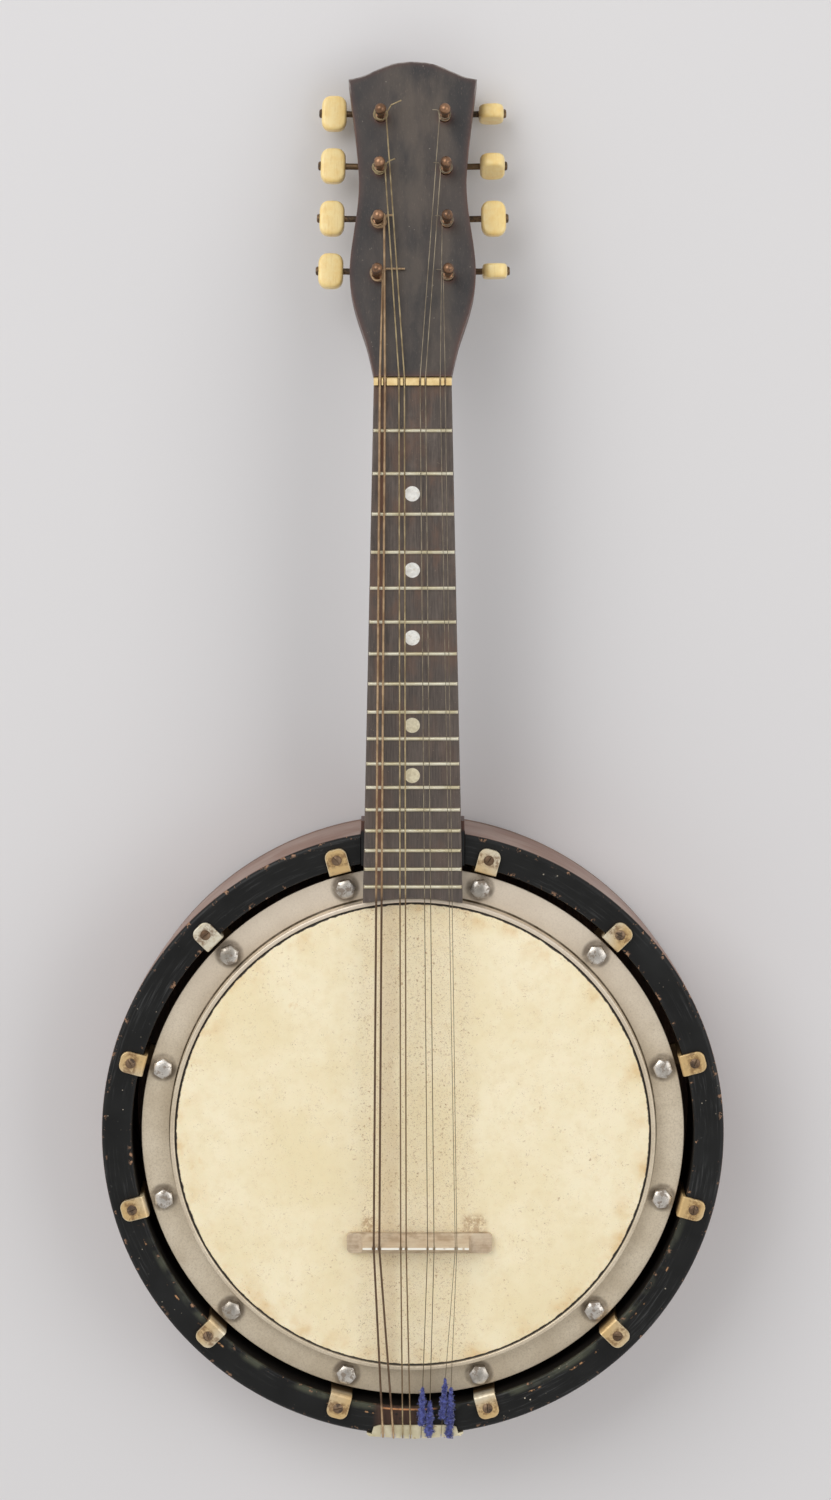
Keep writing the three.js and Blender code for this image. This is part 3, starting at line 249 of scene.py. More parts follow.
class Finish:
    """One procedural material, built from named steps on the piece's own coordinates."""

    def __init__(self, name, roughness=0.5, metallic=0.0, coat=0.0, sheen=0.0):
        self.material = bpy.data.materials.new(name)
        self.material.use_nodes = True
        self.tree = self.material.node_tree
        self.shader = self.tree.nodes["Principled BSDF"]
        self.preset(Roughness=roughness, Metallic=metallic, Coat_Weight=coat, Sheen_Weight=sheen)
        self.place = self.step("ShaderNodeTexCoord", {}, "Object")

    def preset(self, **values):
        for name, value in values.items():
            self.shader.inputs[name.replace("_", " ")].default_value = value

    def plug(self, value, socket):
        """Links another node's output, or sets a number or a tone of red, green and blue."""
        if isinstance(value, bpy.types.NodeSocket):
            self.tree.links.new(value, socket)
        else:
            socket.default_value = tone(*value) if isinstance(value, tuple) else value

    def step(self, kind, inputs, output=0, **settings):
        """Adds a node with its settings and inputs, and gives one of its outputs."""
        node = self.tree.nodes.new(kind)
        for name, value in settings.items():
            setattr(node, name, value)
        for socket, value in inputs.items():
            self.plug(value, node.inputs[socket])
        return node.outputs[output]

    def math(self, operation, first, second=0.0):
        return self.step("ShaderNodeMath", {0: first, 1: second}, operation=operation)

    def times(self, first, second):
        return self.math("MULTIPLY", first, second)

    def distance(self, first, second):
        """Length of the way along two sides at a right angle."""
        squares = [self.math("POWER", side, 2.0) for side in (first, second)]
        return self.math("SQRT", self.math("ADD", *squares))

    def axis(self, letter):
        """Place along X, Y or Z in millimetres."""
        return self.times(self.step("ShaderNodeSeparateXYZ", {0: self.place}, letter), 1000.0)

    def radius(self):
        """Distance from the drum's axis in millimetres."""
        return self.distance(self.axis("X"), self.axis("Y"))

    def turn(self):
        """Angle about the drum's axis, in radians from +X."""
        return self.math("ARCTAN2", self.axis("Y"), self.axis("X"))

    def around(self):
        """Coordinates that follow the drum's rings: out, round and up, in metres."""
        out, up = self.times(self.radius(), 0.001), self.times(self.axis("Z"), 0.001)
        along = self.times(self.turn(), mm(BODY_RADIUS))
        return self.step("ShaderNodeCombineXYZ", {"X": out, "Y": along, "Z": up})

    def stretched(self, size, stretch=(1, 1, 1), source=None):
        """Coordinates where a pattern of unit size measures size mm, longer by stretch."""
        scale = [1000 / size / s for s in stretch]
        return self.step("ShaderNodeVectorMath", {0: source or self.place, 1: scale}, operation="MULTIPLY")

    def noise(self, size, detail=5, roughness=0.55, stretch=(1, 1, 1), seed=0.0, warp=0.0, source=None):
        inputs = {"Vector": self.stretched(size, stretch, source), "W": seed, "Scale": 1.0,
                  "Detail": detail, "Roughness": roughness, "Distortion": warp}
        return self.step("ShaderNodeTexNoise", inputs, "Fac", noise_dimensions="4D")

    def cells(self, size, seed):
        """Distance from the middle of random cells, 0 in the middle."""
        inputs = {"Vector": self.stretched(size), "W": seed, "Scale": 1.0}
        return self.step("ShaderNodeTexVoronoi", inputs, "Distance", voronoi_dimensions="4D")

    def between(self, value, low, high):
        """0 below low, 1 above high, smooth between them. With low over high it falls."""
        inputs = {"Value": value, "From Min": min(low, high), "From Max": max(low, high)}
        if low > high:
            inputs |= {"To Min": 1.0, "To Max": 0.0}
        return self.step("ShaderNodeMapRange", inputs, interpolation_type="SMOOTHSTEP")

    def within(self, value, low, high, soft):
        """1 between low and high, fading over soft outside them."""
        return self.both(self.between(value, low - soft, low), self.between(value, high + soft, high))

    def past(self, letter, low, high):
        """0 before low along an axis, 1 beyond high."""
        return self.between(self.axis(letter), low, high)

    def across(self, letter, low, high, soft):
        """1 between two places along an axis."""
        return self.within(self.axis(letter), low, high, soft)

    def patches(self, low, high, size, **kind):
        """Patches of size mm: 0 where the noise is below low, 1 where it is above high."""
        return self.between(self.noise(size, **kind), low, high)

    def specks(self, size, high, low, patch, seed):
        """Small dots of size mm, in patches of patch mm."""
        return self.both(self.between(self.cells(size, seed), high, low),
                         self.patches(0.48, 0.6, patch, detail=3, seed=seed + 1))

    def edges(self, size):
        """1 where the surface turns within size mm, 0 on its flat parts."""
        rounded = self.step("ShaderNodeBevel", {"Radius": mm(size)}, samples=6)
        plain = self.step("ShaderNodeNewGeometry", {}, "Normal")
        alike = self.step("ShaderNodeVectorMath", {0: rounded, 1: plain}, "Value", operation="DOT_PRODUCT")
        return self.between(alike, 0.995, 0.85)

    def both(self, *masks):
        product = masks[0]
        for mask in masks[1:]:
            product = self.times(product, mask)
        return product

    def either(self, first, second):
        return self.math("MAXIMUM", first, second)

    def mix(self, share, first, second):
        """A colour that goes from first to second."""
        return self.step("ShaderNodeMix", {"Factor": share, 6: first, 7: second}, 2, data_type="RGBA")

    def blend(self, share, first, second):
        """A number that goes from first to second."""
        return self.step("ShaderNodeMix", {"Factor": share, 2: first, 3: second}, data_type="FLOAT")

    def layer(self, under, over, *masks):
        """A colour over another, where the product of the masks and shares lets it show."""
        return self.mix(self.both(*masks), under, over)

    def color(self, value):
        self.plug(value, self.shader.inputs["Base Color"])

    def over(self, value, *masks):
        """Lays a colour over the one that the shader has so far."""
        self.color(self.layer(self.shader.inputs["Base Color"].links[0].from_socket, value, *masks))

    def rough(self, value):
        self.plug(value, self.shader.inputs["Roughness"])

    def metal(self, value):
        self.plug(value, self.shader.inputs["Metallic"])

    def relief(self, height, depth):
        """Bump by a 0 to 1 height that stands for depth mm. It adds to the last one."""
        inputs = {"Distance": mm(depth), "Height": height}
        socket = self.shader.inputs["Normal"]
        if socket.is_linked:
            inputs["Normal"] = socket.links[0].from_socket
        self.plug(self.step("ShaderNodeBump", inputs), socket)


# Finishes

def paint_face(f, streaks):
    """Black paint with haze, brushed arcs, scratches and pale specks."""
    f.color(f.mix(streaks, (9, 9, 9), (27, 27, 26)))
    f.over((54, 56, 57), f.patches(0.5, 0.75, 45, detail=3, seed=5), 0.3)
    seam = f.between(f.math("ABSOLUTE", f.turn()), pi - 0.01, pi - 0.1)
    brushed = f.patches(0.5, 0.72, 0.9, detail=6, roughness=0.7, stretch=(1, 22, 1), seed=18,
                        source=f.around())
    brushed = f.both(brushed, f.patches(0.4, 0.62, 30, detail=3, seed=19), seam)
    f.over((92, 92, 92), brushed, 0.55)
    f.over((120, 118, 114), f.patches(0.66, 0.74, 1.2, roughness=0.75, stretch=(6, 3, 1), seed=9), 0.6)
    f.over((196, 184, 164), f.specks(2.4, 0.16, 0.09, 14, 13))


def chip_face(f, radius, edge, chips):
    """Rubs and chips the black face to the wood by its edges, with a green tinge at the well."""
    lower = f.past("Y", -20, -60)
    f.over((186, 140, 98), f.both(f.within(radius, WELL_RADIUS + 3.5, WELL_RADIUS + 3.7, 0.4), lower,
                                  f.patches(0.56, 0.62, 7, roughness=0.7, seed=15)))
    green = f.both(f.between(radius, WELL_RADIUS + 3.4, WELL_RADIUS + 1.2), lower,
                   f.patches(0.4, 0.6, 12, detail=4, seed=16))
    f.over((96, 98, 80), green, 0.5)
    wood = f.mix(f.noise(0.8, detail=4, seed=3), (190, 150, 118), (120, 84, 62))
    f.over(wood, edge, chips)


def wear_tail(f, radius):
    """Wears the face by the tailpiece to dark wood, with a bare line along the well."""
    beside = f.past("Y", -100, -104)
    wear_and_highlight = f.both(f.across("X", -13.5, 0.5, 4), beside, f.patches(0.3, 0.42, 4, seed=6))
    f.over(f.mix(f.noise(0.7, stretch=(1, 9, 1), seed=8), (46, 34, 29), (90, 66, 54)), wear_and_highlight)
    f.over((206, 146, 98), f.both(f.within(radius, WELL_RADIUS + 0.9, WELL_RADIUS + 1.2, 0.4),
                                  f.across("X", -11, 8, 3), beside, f.patches(0.32, 0.46, 2.4, seed=17)))


def brown_side(f):
    """Brown varnish with a pale bloom."""
    grain = f.noise(1.6, detail=6, roughness=0.6, stretch=(14, 14, 1), seed=11)
    brown = f.mix(grain, (112, 78, 62), (168, 134, 118))
    return f.layer(brown, (188, 170, 160), f.patches(0.4, 0.7, 38, detail=3, seed=12), 0.45)


def black_paint_finish():
    """Black painted face with wooden chips along its edges, brown varnished side, and the well's inner wall
    painted near black as shade.
    """
    f = Finish("black_paint", roughness=0.36)
    f.preset(Specular_IOR_Level=0.3)
    streaks = f.noise(3, detail=6, roughness=0.6, stretch=(4, 4, 1), seed=2)
    radius = f.radius()
    level = f.axis("Z")
    edge = f.either(f.between(radius, BODY_RADIUS - 2.4, BODY_RADIUS - 0.6),
                    f.between(radius, WELL_RADIUS + 2.2, WELL_RADIUS + 0.4))
    chips = f.patches(0.575, 0.605, 3.6, detail=6, roughness=0.72, seed=4)
    paint_face(f, streaks)
    chip_face(f, radius, edge, chips)
    wear_tail(f, radius)
    f.over(brown_side(f), f.both(f.between(level, BODY_DEPTH - 0.9, BODY_DEPTH - 1.5),
                                 f.between(radius, WELL_RADIUS + 4, WELL_RADIUS + 6)))
    # Painted shade: the inner wall of the well, down under the flange, is painted near black.
    f.over((30, 27, 24), f.both(f.between(level, BODY_DEPTH - 1.2, BODY_DEPTH - 2.5),
                                f.between(radius, WELL_RADIUS + 1.2, WELL_RADIUS + 0.6)))
    f.rough(f.blend(streaks, 0.34, 0.56))
    f.relief(streaks, 0.06)
    on_top = f.between(level, BODY_DEPTH - 1.6, BODY_DEPTH - 0.9)
    f.relief(f.math("SUBTRACT", 1.0, f.both(edge, chips, on_top)), 0.15)
    return f.material


def back_finish():
    """Varnished wood with its grain along the neck and cloudy bands in it."""
    f = Finish("back_wood", roughness=0.42)
    grain = f.noise(1.3, detail=7, roughness=0.62, stretch=(1, 40, 1), seed=111)
    cloud = f.noise(31.2, detail=3, stretch=(1, 5, 1), seed=112)
    share = f.math("ADD", f.times(grain, 0.6), f.times(cloud, 0.4))
    f.color(f.mix(f.between(share, 0.35, 0.65), (92, 62, 48), (138, 100, 78)))
    f.rough(f.blend(grain, 0.32, 0.54))
    f.relief(grain, 0.05)
    return f.material


def metal_finish(name, bright, dull, stain, roughness, seed, stain_from=0.56, grain_size=1.0):
    """Plated metal with cloudy tarnish, fine pits and brighter edges: wear, and a painted highlight."""
    f = Finish(name, roughness=roughness, metallic=0.85)
    cloud = f.noise(9, roughness=0.6, seed=seed)
    fine = f.noise(grain_size, roughness=0.7, seed=seed + 1)
    f.color(f.mix(f.between(cloud, 0.35, 0.65), bright, dull))
    f.over(dull, f.between(fine, 0.45, 0.7), 0.35)
    spots = f.patches(stain_from, stain_from + 0.08, 3.5, detail=6, roughness=0.7, seed=seed + 2)
    f.over(stain, spots, 0.8)
    # Edges lightened to the bright tone: wear, and a painted highlight.
    f.over(bright, f.edges(0.4), 0.5)
    f.rough(f.blend(spots, f.blend(fine, roughness - 0.06, roughness + 0.1), roughness + 0.25))
    f.metal(f.blend(spots, 0.85, 0.3))
    f.relief(fine, 0.03)
    return f.material


def bracket_finish():
    """Worn plate, from pale to brassy by the bracket, with rust round each screw, a painted highlight along
    its edges and painted shade where it goes down into the well.
    """
    f = Finish("bracket", roughness=0.42, metallic=0.55)
    tint = f.patches(0.36, 0.54, 34, detail=1, seed=141)
    f.color(f.mix(tint, (236, 228, 206), (224, 190, 134)))
    mottle = f.noise(2.6, detail=6, roughness=0.7, seed=143)
    f.over((176, 150, 108), f.between(mottle, 0.46, 0.66), 0.45)
    ring = f.math("ABSOLUTE", f.math("SUBTRACT", f.radius(), SCREW_CIRCLE))
    rust = f.both(f.between(ring, 3.4, 1.8), f.patches(0.4, 0.58, 1.8, roughness=0.7, seed=144))
    f.over((122, 82, 50), rust, 0.7)
    # Painted highlight: pale colour along the bracket's edges.
    f.over((240, 228, 196), f.edges(0.8), 0.75)
    # Painted shade: dark brown on the upright and foot, down in the well under the flange.
    f.over((112, 88, 60), f.past("Z", BODY_DEPTH - 0.5, BODY_DEPTH - 6))
    f.rough(f.blend(mottle, 0.34, 0.56))
    f.relief(mottle, 0.06)
    return f.material


def from_bolts(f, radius):
    """Distance from the middle of the nearest bolt in millimetres."""
    step = 2 * pi / BOLT_COUNT
    off = f.math("PINGPONG", f.math("ADD", f.turn(), 2 * pi + step / 2), step / 2)
    return f.distance(f.times(off, BOLT_CIRCLE), f.math("SUBTRACT", radius, BOLT_CIRCLE))


def nickel_finish():
    """Satin nickel flange, painted darker towards the tail and lighter towards the neck as light and shade,
    and darker round the bolts and at the foot of the hoop.
    """
    f = Finish("nickel", roughness=0.42, metallic=0.5)
    cloud = f.noise(20, roughness=0.6, seed=121)
    fine = f.noise(0.7, roughness=0.75, seed=122)
    f.color(f.mix(f.between(cloud, 0.3, 0.7), (236, 222, 198), (214, 198, 172)))
    f.over((186, 168, 142), f.between(fine, 0.42, 0.66), 0.5)
    f.over((134, 112, 86), f.patches(0.6, 0.7, 1.6, roughness=0.8, seed=123), 0.6)
    # Painted light and shade: darker towards the tail, lighter towards the neck, the way the light falls.
    f.over((160, 144, 120), f.past("Y", -60, -125), 0.2)
    f.over((240, 226, 210), f.past("Y", 10, 100), 0.5)
    radius = f.radius()
    # A ragged darker line at the foot of the hoop, and darker rings round the bolts.
    foot = f.both(f.within(radius, HOOP_OUTER, HOOP_OUTER + 0.4, 0.4),
                  f.past("Z", CLAMP_TOP + 2, CLAMP_TOP + 1))
    ragged = f.patches(0.3, 0.6, 5, seed=124)
    f.over((84, 70, 48), foot, f.blend(ragged, 0.75, 1.0))
    darker_round_bolts = f.both(f.between(from_bolts(f, radius), 6.6, 4.9), f.blend(ragged, 0.35, 1.0))
    f.over((112, 98, 84), darker_round_bolts, 0.75)
    f.rough(f.blend(fine, 0.38, 0.54))
    f.relief(fine, 0.03)
    return f.material


def skin_specks(f, near):
    """Fine brown specks of three sizes, thicker where near is high."""
    shades = ((186, 142, 96), (164, 120, 78), (134, 98, 66))
    for size, seed, shade in zip((0.7, 1.3, 0.5), (4, 5, 6), shades):
        patch = f.math("ADD", f.noise(7 * size, detail=4, roughness=0.7, seed=seed), near)
        speck = f.patches(0.56, 0.64, size, roughness=0.75, seed=seed + 20)
        f.over(shade, speck, f.between(patch, 0.52, 0.76), 0.8)


def skin_finish():
    """Old calf skin: cream, blotched, with fine brown specks thickest under the strings."""
    f = Finish("skin", roughness=0.62, sheen=0.15)
    cloud = f.noise(42, roughness=0.6, seed=1)
    f.color(f.mix(f.between(cloud, 0.35, 0.68), (249, 236, 203), (241, 225, 184)))
    mottle = f.noise(5, detail=6, roughness=0.65, seed=2)
    f.over((234, 215, 171), f.between(mottle, 0.42, 0.7), 0.4)
    f.over((226, 190, 128), f.patches(0.64, 0.74, 9, roughness=0.65, seed=3), 0.4)
    rim = f.between(f.radius(), SKIN_RADIUS - 12, SKIN_RADIUS - 1)
    f.over((224, 190, 134), rim, f.patches(0.42, 0.8, 10, seed=8))

    ragged = f.times(f.math("SUBTRACT", f.noise(14, detail=4, seed=7), 0.5), 12.0)
    across = f.math("ADD", f.axis("X"), ragged)
    band = f.within(across, -18, 19, 9)
    f.over((226, 207, 168), band, 0.22)
    f.over((206, 178, 140), f.within(across, -13, -8, 4), 0.3)

    ends = f.either(f.across("X", -19.5, -17.5, 3), f.across("X", 23, 28, 4))
    ends = f.both(ends, f.across("Y", BRIDGE_AT + 5, BRIDGE_AT + 9, 4))
    rust = f.both(ends, f.patches(0.38, 0.56, 2.2, roughness=0.7, seed=9))
    f.over((166, 124, 78), rust, 0.6)
    near = f.math("ADD", f.blend(band, 0.05, 0.19), f.times(ends, 0.12))
    skin_specks(f, near)
    # Painted shade: a dark ragged line on the skin's edge, where it turns down into the groove by the hoop.
    gap = f.between(f.math("ADD", f.radius(), f.times(f.noise(3, seed=12), 1.4)),
                    SKIN_RADIUS - 0.1, SKIN_RADIUS + 0.3)
    f.over((44, 34, 24), gap)
    f.relief(f.noise(0.6, detail=4, seed=10), 0.04)
    f.relief(mottle, 0.08)
    f.preset(Subsurface_Weight=0.08, Subsurface_Radius=(0.004, 0.0025, 0.0015))
    return f.material


def fingerboard_finish():
    """Dry dark board with fine lengthwise streaks, dust and a rusty line by the low strings."""
    f = Finish("fingerboard", roughness=0.55)
    streaks = f.noise(0.6, detail=6, roughness=0.65, stretch=(1, 20, 1), seed=21)
    pores = f.patches(0.56, 0.68, 0.45, detail=4, roughness=0.7, stretch=(1, 9, 1), seed=22)
    f.color(f.mix(f.between(streaks, 0.25, 0.75), (62, 54, 49), (98, 87, 80)))
    f.over((44, 38, 35), pores, 0.4)
    dust = f.both(f.patches(0.45, 0.72, 12, roughness=0.65, stretch=(1, 2, 1), seed=23),
                  f.blend(f.past("Y", 180, 300), 0.3, 1.0))
    f.over((138, 124, 114), dust, 0.5)
    f.over((168, 150, 130), f.specks(0.7, 0.22, 0.12, 7, 26), 0.7)
    brown = f.both(f.patches(0.46, 0.66, 9, roughness=0.6, stretch=(1, 2.4, 1), seed=28),
                   f.blend(f.past("Y", 160, 230), 0.25, 0.65))
    f.over((112, 84, 68), brown)
    lean = f.times(f.math("SUBTRACT", NUT_AT, f.axis("Y")), 0.0078)
    rust = f.both(f.within(f.math("ADD", f.axis("X"), lean), -13.2, -11.2, 0.8),
                  f.patches(0.34, 0.56, 5, stretch=(1, 6, 1), seed=24))
    f.over((110, 68, 42), rust, 0.6)
    # Lighter ragged edges: wear, and a painted highlight along them.
    wear_and_highlight = f.both(f.edges(0.9), f.patches(0.38, 0.6, 4, detail=4, stretch=(1, 4, 1), seed=29))
    f.over((150, 134, 120), wear_and_highlight, 0.6)
    f.rough(f.blend(streaks, 0.46, 0.66))
    f.relief(streaks, 0.05)
    return f.material


def charcoal_face(f, grain):
    """The headstock's face: charcoal with streaks, dust, specks and scratches."""
    cloud = f.noise(17, roughness=0.6, stretch=(1, 2.4, 1), seed=32)
    charcoal = f.mix(f.between(cloud, 0.36, 0.66), (30, 29, 30), (68, 59, 53))
    charcoal = f.layer(charcoal, (58, 50, 48), grain, 0.5)
    streak = f.patches(0.55, 0.72, 0.5, roughness=0.7, stretch=(1, 16, 1), seed=34)
    charcoal = f.layer(charcoal, (124, 108, 94), streak, 0.45)
    dust = f.both(f.across("X", -9, 13, 6), f.patches(0.36, 0.64, 9, stretch=(1, 4, 1), seed=38))
    charcoal = f.layer(charcoal, (108, 95, 82), dust, 0.4)
    charcoal = f.layer(charcoal, (186, 176, 162), f.specks(1.5, 0.14, 0.07, 9, 35))
    scratch = f.patches(0.69, 0.74, 0.8, detail=6, roughness=0.75, stretch=(7, 1, 1), seed=37)
    return f.layer(charcoal, (150, 136, 122), scratch, 0.5)


def neck_finish():
    """Charcoal headstock face and dark brown neck, with the brown wood bared by wear at its edges and a
    painted near-white highlight along the edges at the headstock's tip.
    """
    f = Finish("neck", roughness=0.42)
    grain = f.noise(1.1, detail=7, roughness=0.62, stretch=(1, 12, 2), seed=31)
    charcoal = charcoal_face(f, grain)
    brown = f.mix(grain, (62, 42, 35), (104, 72, 58))
    face = f.math("ADD", f.times(f.axis("Y"), sin(HEAD_ANGLE)),
                  f.times(f.axis("Z"), cos(HEAD_ANGLE)))
    face_level = HEAD_ORIGIN[1] * sin(HEAD_ANGLE) + HEAD_ORIGIN[2] * cos(HEAD_ANGLE)
    on_face = f.both(f.between(face, face_level - 0.6, face_level - 0.2), f.past("Y", NUT_AT, NUT_AT + 2))
    tip = HEAD_ORIGIN[1] + cos(HEAD_ANGLE) * HEAD_LENGTH
    f.color(f.mix(on_face, brown, charcoal))
    f.over((82, 52, 45), f.edges(5), 0.6)
    # Edges bared by wear in brown; near the headstock's tip they are painted near white as a highlight.
    edge_wear_and_highlight = f.both(f.edges(1.3), f.patches(0.3, 0.62, 6, detail=4, seed=33))
    shade = f.mix(f.past("Y", tip - 16, tip - 9), (108, 74, 60), (206, 200, 194))
    f.over(shade, edge_wear_and_highlight, 0.85)
    f.over((22, 21, 21), f.past("Y", BODY_RADIUS + 1, BODY_RADIUS - 1))
    raw = f.between(f.radius(), BODY_RADIUS - 4, BODY_RADIUS - 6)
    deep = f.past("Z", NECK_TOP - TONGUE_DEPTH - 1, NECK_TOP - TONGUE_DEPTH - 3)
    f.over(f.mix(grain, (70, 54, 42), (112, 90, 72)), raw, deep)
    f.rough(f.blend(grain, 0.34, 0.54))
    f.relief(grain, 0.05)
    return f.material


def nut_finish():
    f = Finish("nut", roughness=0.42)
    cloud = f.noise(3, seed=41)
    f.color(f.mix(f.between(cloud, 0.3, 0.7), (240, 214, 158), (220, 188, 128)))
    dirt = f.past("Z", BOARD_TOP + 1.5, BOARD_TOP + 0.8)
    f.over((112, 84, 52), dirt, 0.6)
    f.rough(f.blend(cloud, 0.36, 0.52))
    f.relief(f.noise(0.6, detail=4, seed=42), 0.03)
    return f.material


def bridge_finish():
    """Pale wood with grain along the bridge and a white line along the top: a painted highlight on the
    crest.
    """
    f = Finish("bridge", roughness=0.6)
    grain = f.noise(0.55, detail=6, roughness=0.6, stretch=(30, 1, 1), seed=51)
    f.color(f.mix(f.between(grain, 0.2, 0.8), (190, 166, 138), (214, 194, 166)))
    f.over((222, 208, 182), f.patches(0.4, 0.7, 7, detail=4, seed=52), 0.5)
    dirt = f.both(f.past("Z", BRIDGE_TOP - 2.6, BRIDGE_TOP - 6), f.patches(0.4, 0.65, 4, detail=4, seed=53))
    f.over((150, 122, 92), dirt, 0.5)
    # Painted highlight: a near-white line along the crest, with darker patches in it.
    line = f.both(f.past("Z", BRIDGE_TOP - 0.35, BRIDGE_TOP - 0.15),
                  f.across("Y", BRIDGE_AT - 0.3, BRIDGE_AT + 0.25, 0.2))
    dark = f.patches(0.42, 0.3, 3, detail=4, seed=54)
    wear_and_highlight = f.mix(dark, (246, 243, 230), (186, 166, 136))
    f.over(wear_and_highlight, line)
    f.relief(grain, 0.06)
    return f.material


def ivoroid_finish():
    f = Finish("ivoroid", roughness=0.35, coat=0.2)
    cloud = f.noise(4, detail=4, seed=61)
    lines = f.noise(0.7, detail=4, stretch=(1, 9, 9), seed=62)
    f.color(f.mix(f.between(cloud, 0.3, 0.7), (255, 230, 164), (250, 216, 140)))
    f.over((222, 178, 104), f.between(lines, 0.5, 0.7), 0.3)
    # Painted highlight: the rounded edges are lightened.
    f.over((255, 240, 196), f.edges(0.7), 0.35)
    f.rough(f.blend(cloud, 0.3, 0.42))
    f.relief(cloud, 0.05)
    return f.material


def wire_finish(name, bright, dull, dark, roughness, wound, seed):
    """String wire, painted darker over the drum as shade; a wound one has a fine ridge round it, by its own
    length.
    """
    f = Finish(name, roughness=roughness, metallic=0.6)
    cloud = f.noise(6, seed=seed)
    f.color(f.mix(f.between(cloud, 0.35, 0.65), bright, dull))
    # Painted shade: the wire is darker where it runs over the drum than over the neck.
    painted_dark_over_drum = f.across("Y", -CLAMP_RADIUS, BOARD_END_RADIUS, 4)
    f.over(dark, painted_dark_over_drum, f.blend(cloud, 0.8, 1.0))
    if wound:
        along = f.step("ShaderNodeAttribute", {}, "Fac", attribute_name="along")
        turns = f.math("SINE", f.times(along, 2 * pi / mm(wound)))
        f.relief(f.times(f.math("ADD", turns, 1.0), 0.5), wound / 3)
    return f.material


def thread_finish():
    f = Finish("blue_silk", roughness=0.75, sheen=0.5)
    cloud = f.noise(1.4, roughness=0.7, seed=71)
    f.color(f.mix(f.between(cloud, 0.4, 0.66), (26, 32, 108), (98, 108, 190)))
    return f.material


def pearl_finish():
    f = Finish("pearl", roughness=0.3, coat=0.4)
    swirl = f.noise(2.2, roughness=0.6, seed=81, warp=1.2)
    old = f.mix(f.between(swirl, 0.35, 0.65), (228, 218, 188), (202, 190, 158))
    new = f.mix(f.between(swirl, 0.35, 0.65), (246, 244, 238), (222, 220, 214))
    f.color(f.mix(f.past("Y", 165, 215), old, new))
    f.over((196, 176, 142), f.patches(0.5, 0.7, 1.4, detail=4, seed=82), 0.4)
    f.relief(swirl, 0.02)
    return f.material


def floor_finish():
    f = Finish("floor", roughness=0.9)
    f.color(f.mix(f.noise(400, detail=3, seed=91), (219, 217, 218), (223, 221, 221)))
    return f.material


def dress(node, material):
    piece = nodes[node]
    piece.data.materials.clear()
    piece.data.materials.append(material)
    for face in piece.data.polygons:
        face.material_index = 0


# Camera, floor and lights

def make_camera():
    back = Vector((0, sin(CAMERA_LEAN), cos(CAMERA_LEAN)))
    lens = bpy.data.cameras.new("camera")
    lens.sensor_width = SENSOR
    lens.lens = CAMERA_SCALE * CAMERA_DISTANCE / IMAGE_HEIGHT * SENSOR
    lens.clip_start = 0.1
    lens.clip_end = 20
    camera = bpy.data.objects.new("camera", lens)
    camera.location = mm(CAMERA_TARGET) + back * mm(CAMERA_DISTANCE)
    camera.rotation_euler = (-CAMERA_LEAN, 0, 0)
    bpy.context.scene.camera = link(camera)


def make_floor(material):
    mesh = bpy.data.meshes.new("floor")
    corners = [(sx * FLOOR_HALF, sy * FLOOR_HALF, 0) for sx, sy in ((-1, -1), (1, -1), (1, 1), (-1, 1))]
    mesh.from_pydata(corners, [], [(0, 1, 2, 3)])
    mesh.materials.append(material)
    floor = bpy.data.objects.new("floor", mesh)
    floor.location.z = -FLOOR_DROP
    link(floor)


def make_lamp(name, place, power):
    """A square soft lamp, its place in metres, turned to the instrument."""
    lamp = bpy.data.lights.new(name, "AREA")
    lamp.size = LAMP_SIZE
    lamp.energy = power
    holder = bpy.data.objects.new(name, lamp)
    holder.location = place
    holder.rotation_euler = (Vector(LAMP_TARGET) - Vector(place)).to_track_quat("-Z", "Y").to_euler()
    link(holder)


def make_dome():
    """A bright room with a darker patch straight overhead, where a camera would hang."""
    world = bpy.data.worlds.new("world")
    world.use_nodes = True
    tree = world.node_tree
    split = tree.nodes.new("ShaderNodeSeparateXYZ")
    tree.links.new(tree.nodes.new("ShaderNodeTexCoord").outputs["Generated"], split.inputs[0])
    share = tree.nodes.new("ShaderNodeMapRange")
    for name, value in ROOM_SHADE.items():
        share.inputs[name].default_value = value
    tree.links.new(split.outputs["Z"], share.inputs["Value"])
    tree.nodes["Background"].inputs["Color"].default_value = (1, 1, 1, 1)
    tree.links.new(share.outputs["Result"], tree.nodes["Background"].inputs["Strength"])
    bpy.context.scene.world = world


def make_lights():
    make_dome()
    for name, place, power in LAMPS:
        make_lamp(name, place, power)
    bpy.context.scene.view_settings.view_transform = "Standard"


# Shapes: points in millimetres and faces, turned to pieces at the end

def turned(profile, sides):
    """A ring or disc from a closed loop of radius and height pairs."""
    points = []
    for k in range(sides):
        angle = 2 * pi * k / sides
        points += [(r * cos(angle), r * sin(angle), z) for r, z in profile]
    count = len(profile)
    faces = []
    for k in range(sides):
        here, there = k * count, ((k + 1) % sides) * count
        for i in range(count):
            j = (i + 1) % count
            faces.append((here + i, there + i, there + j, here + j))
    return points, faces


def rod(radius, low, high, sides):
    return turned([(0, low), (radius, low), (radius, high), (0, high)], sides)


def prism(outline, low, high):
    """An outline in X and Y, raised from low to high."""
    count = len(outline)
    points = [(x, y, low) for x, y in outline] + [(x, y, high) for x, y in outline]
    faces = [(i, (i + 1) % count, count + (i + 1) % count, count + i) for i in range(count)]
    return points, [*faces, tuple(reversed(range(count))), tuple(range(count, 2 * count))]


def box(x0, x1, y0, y1, z0, z1):
    return prism([(x0, y0), (x1, y0), (x1, y1), (x0, y1)], z0, z1)


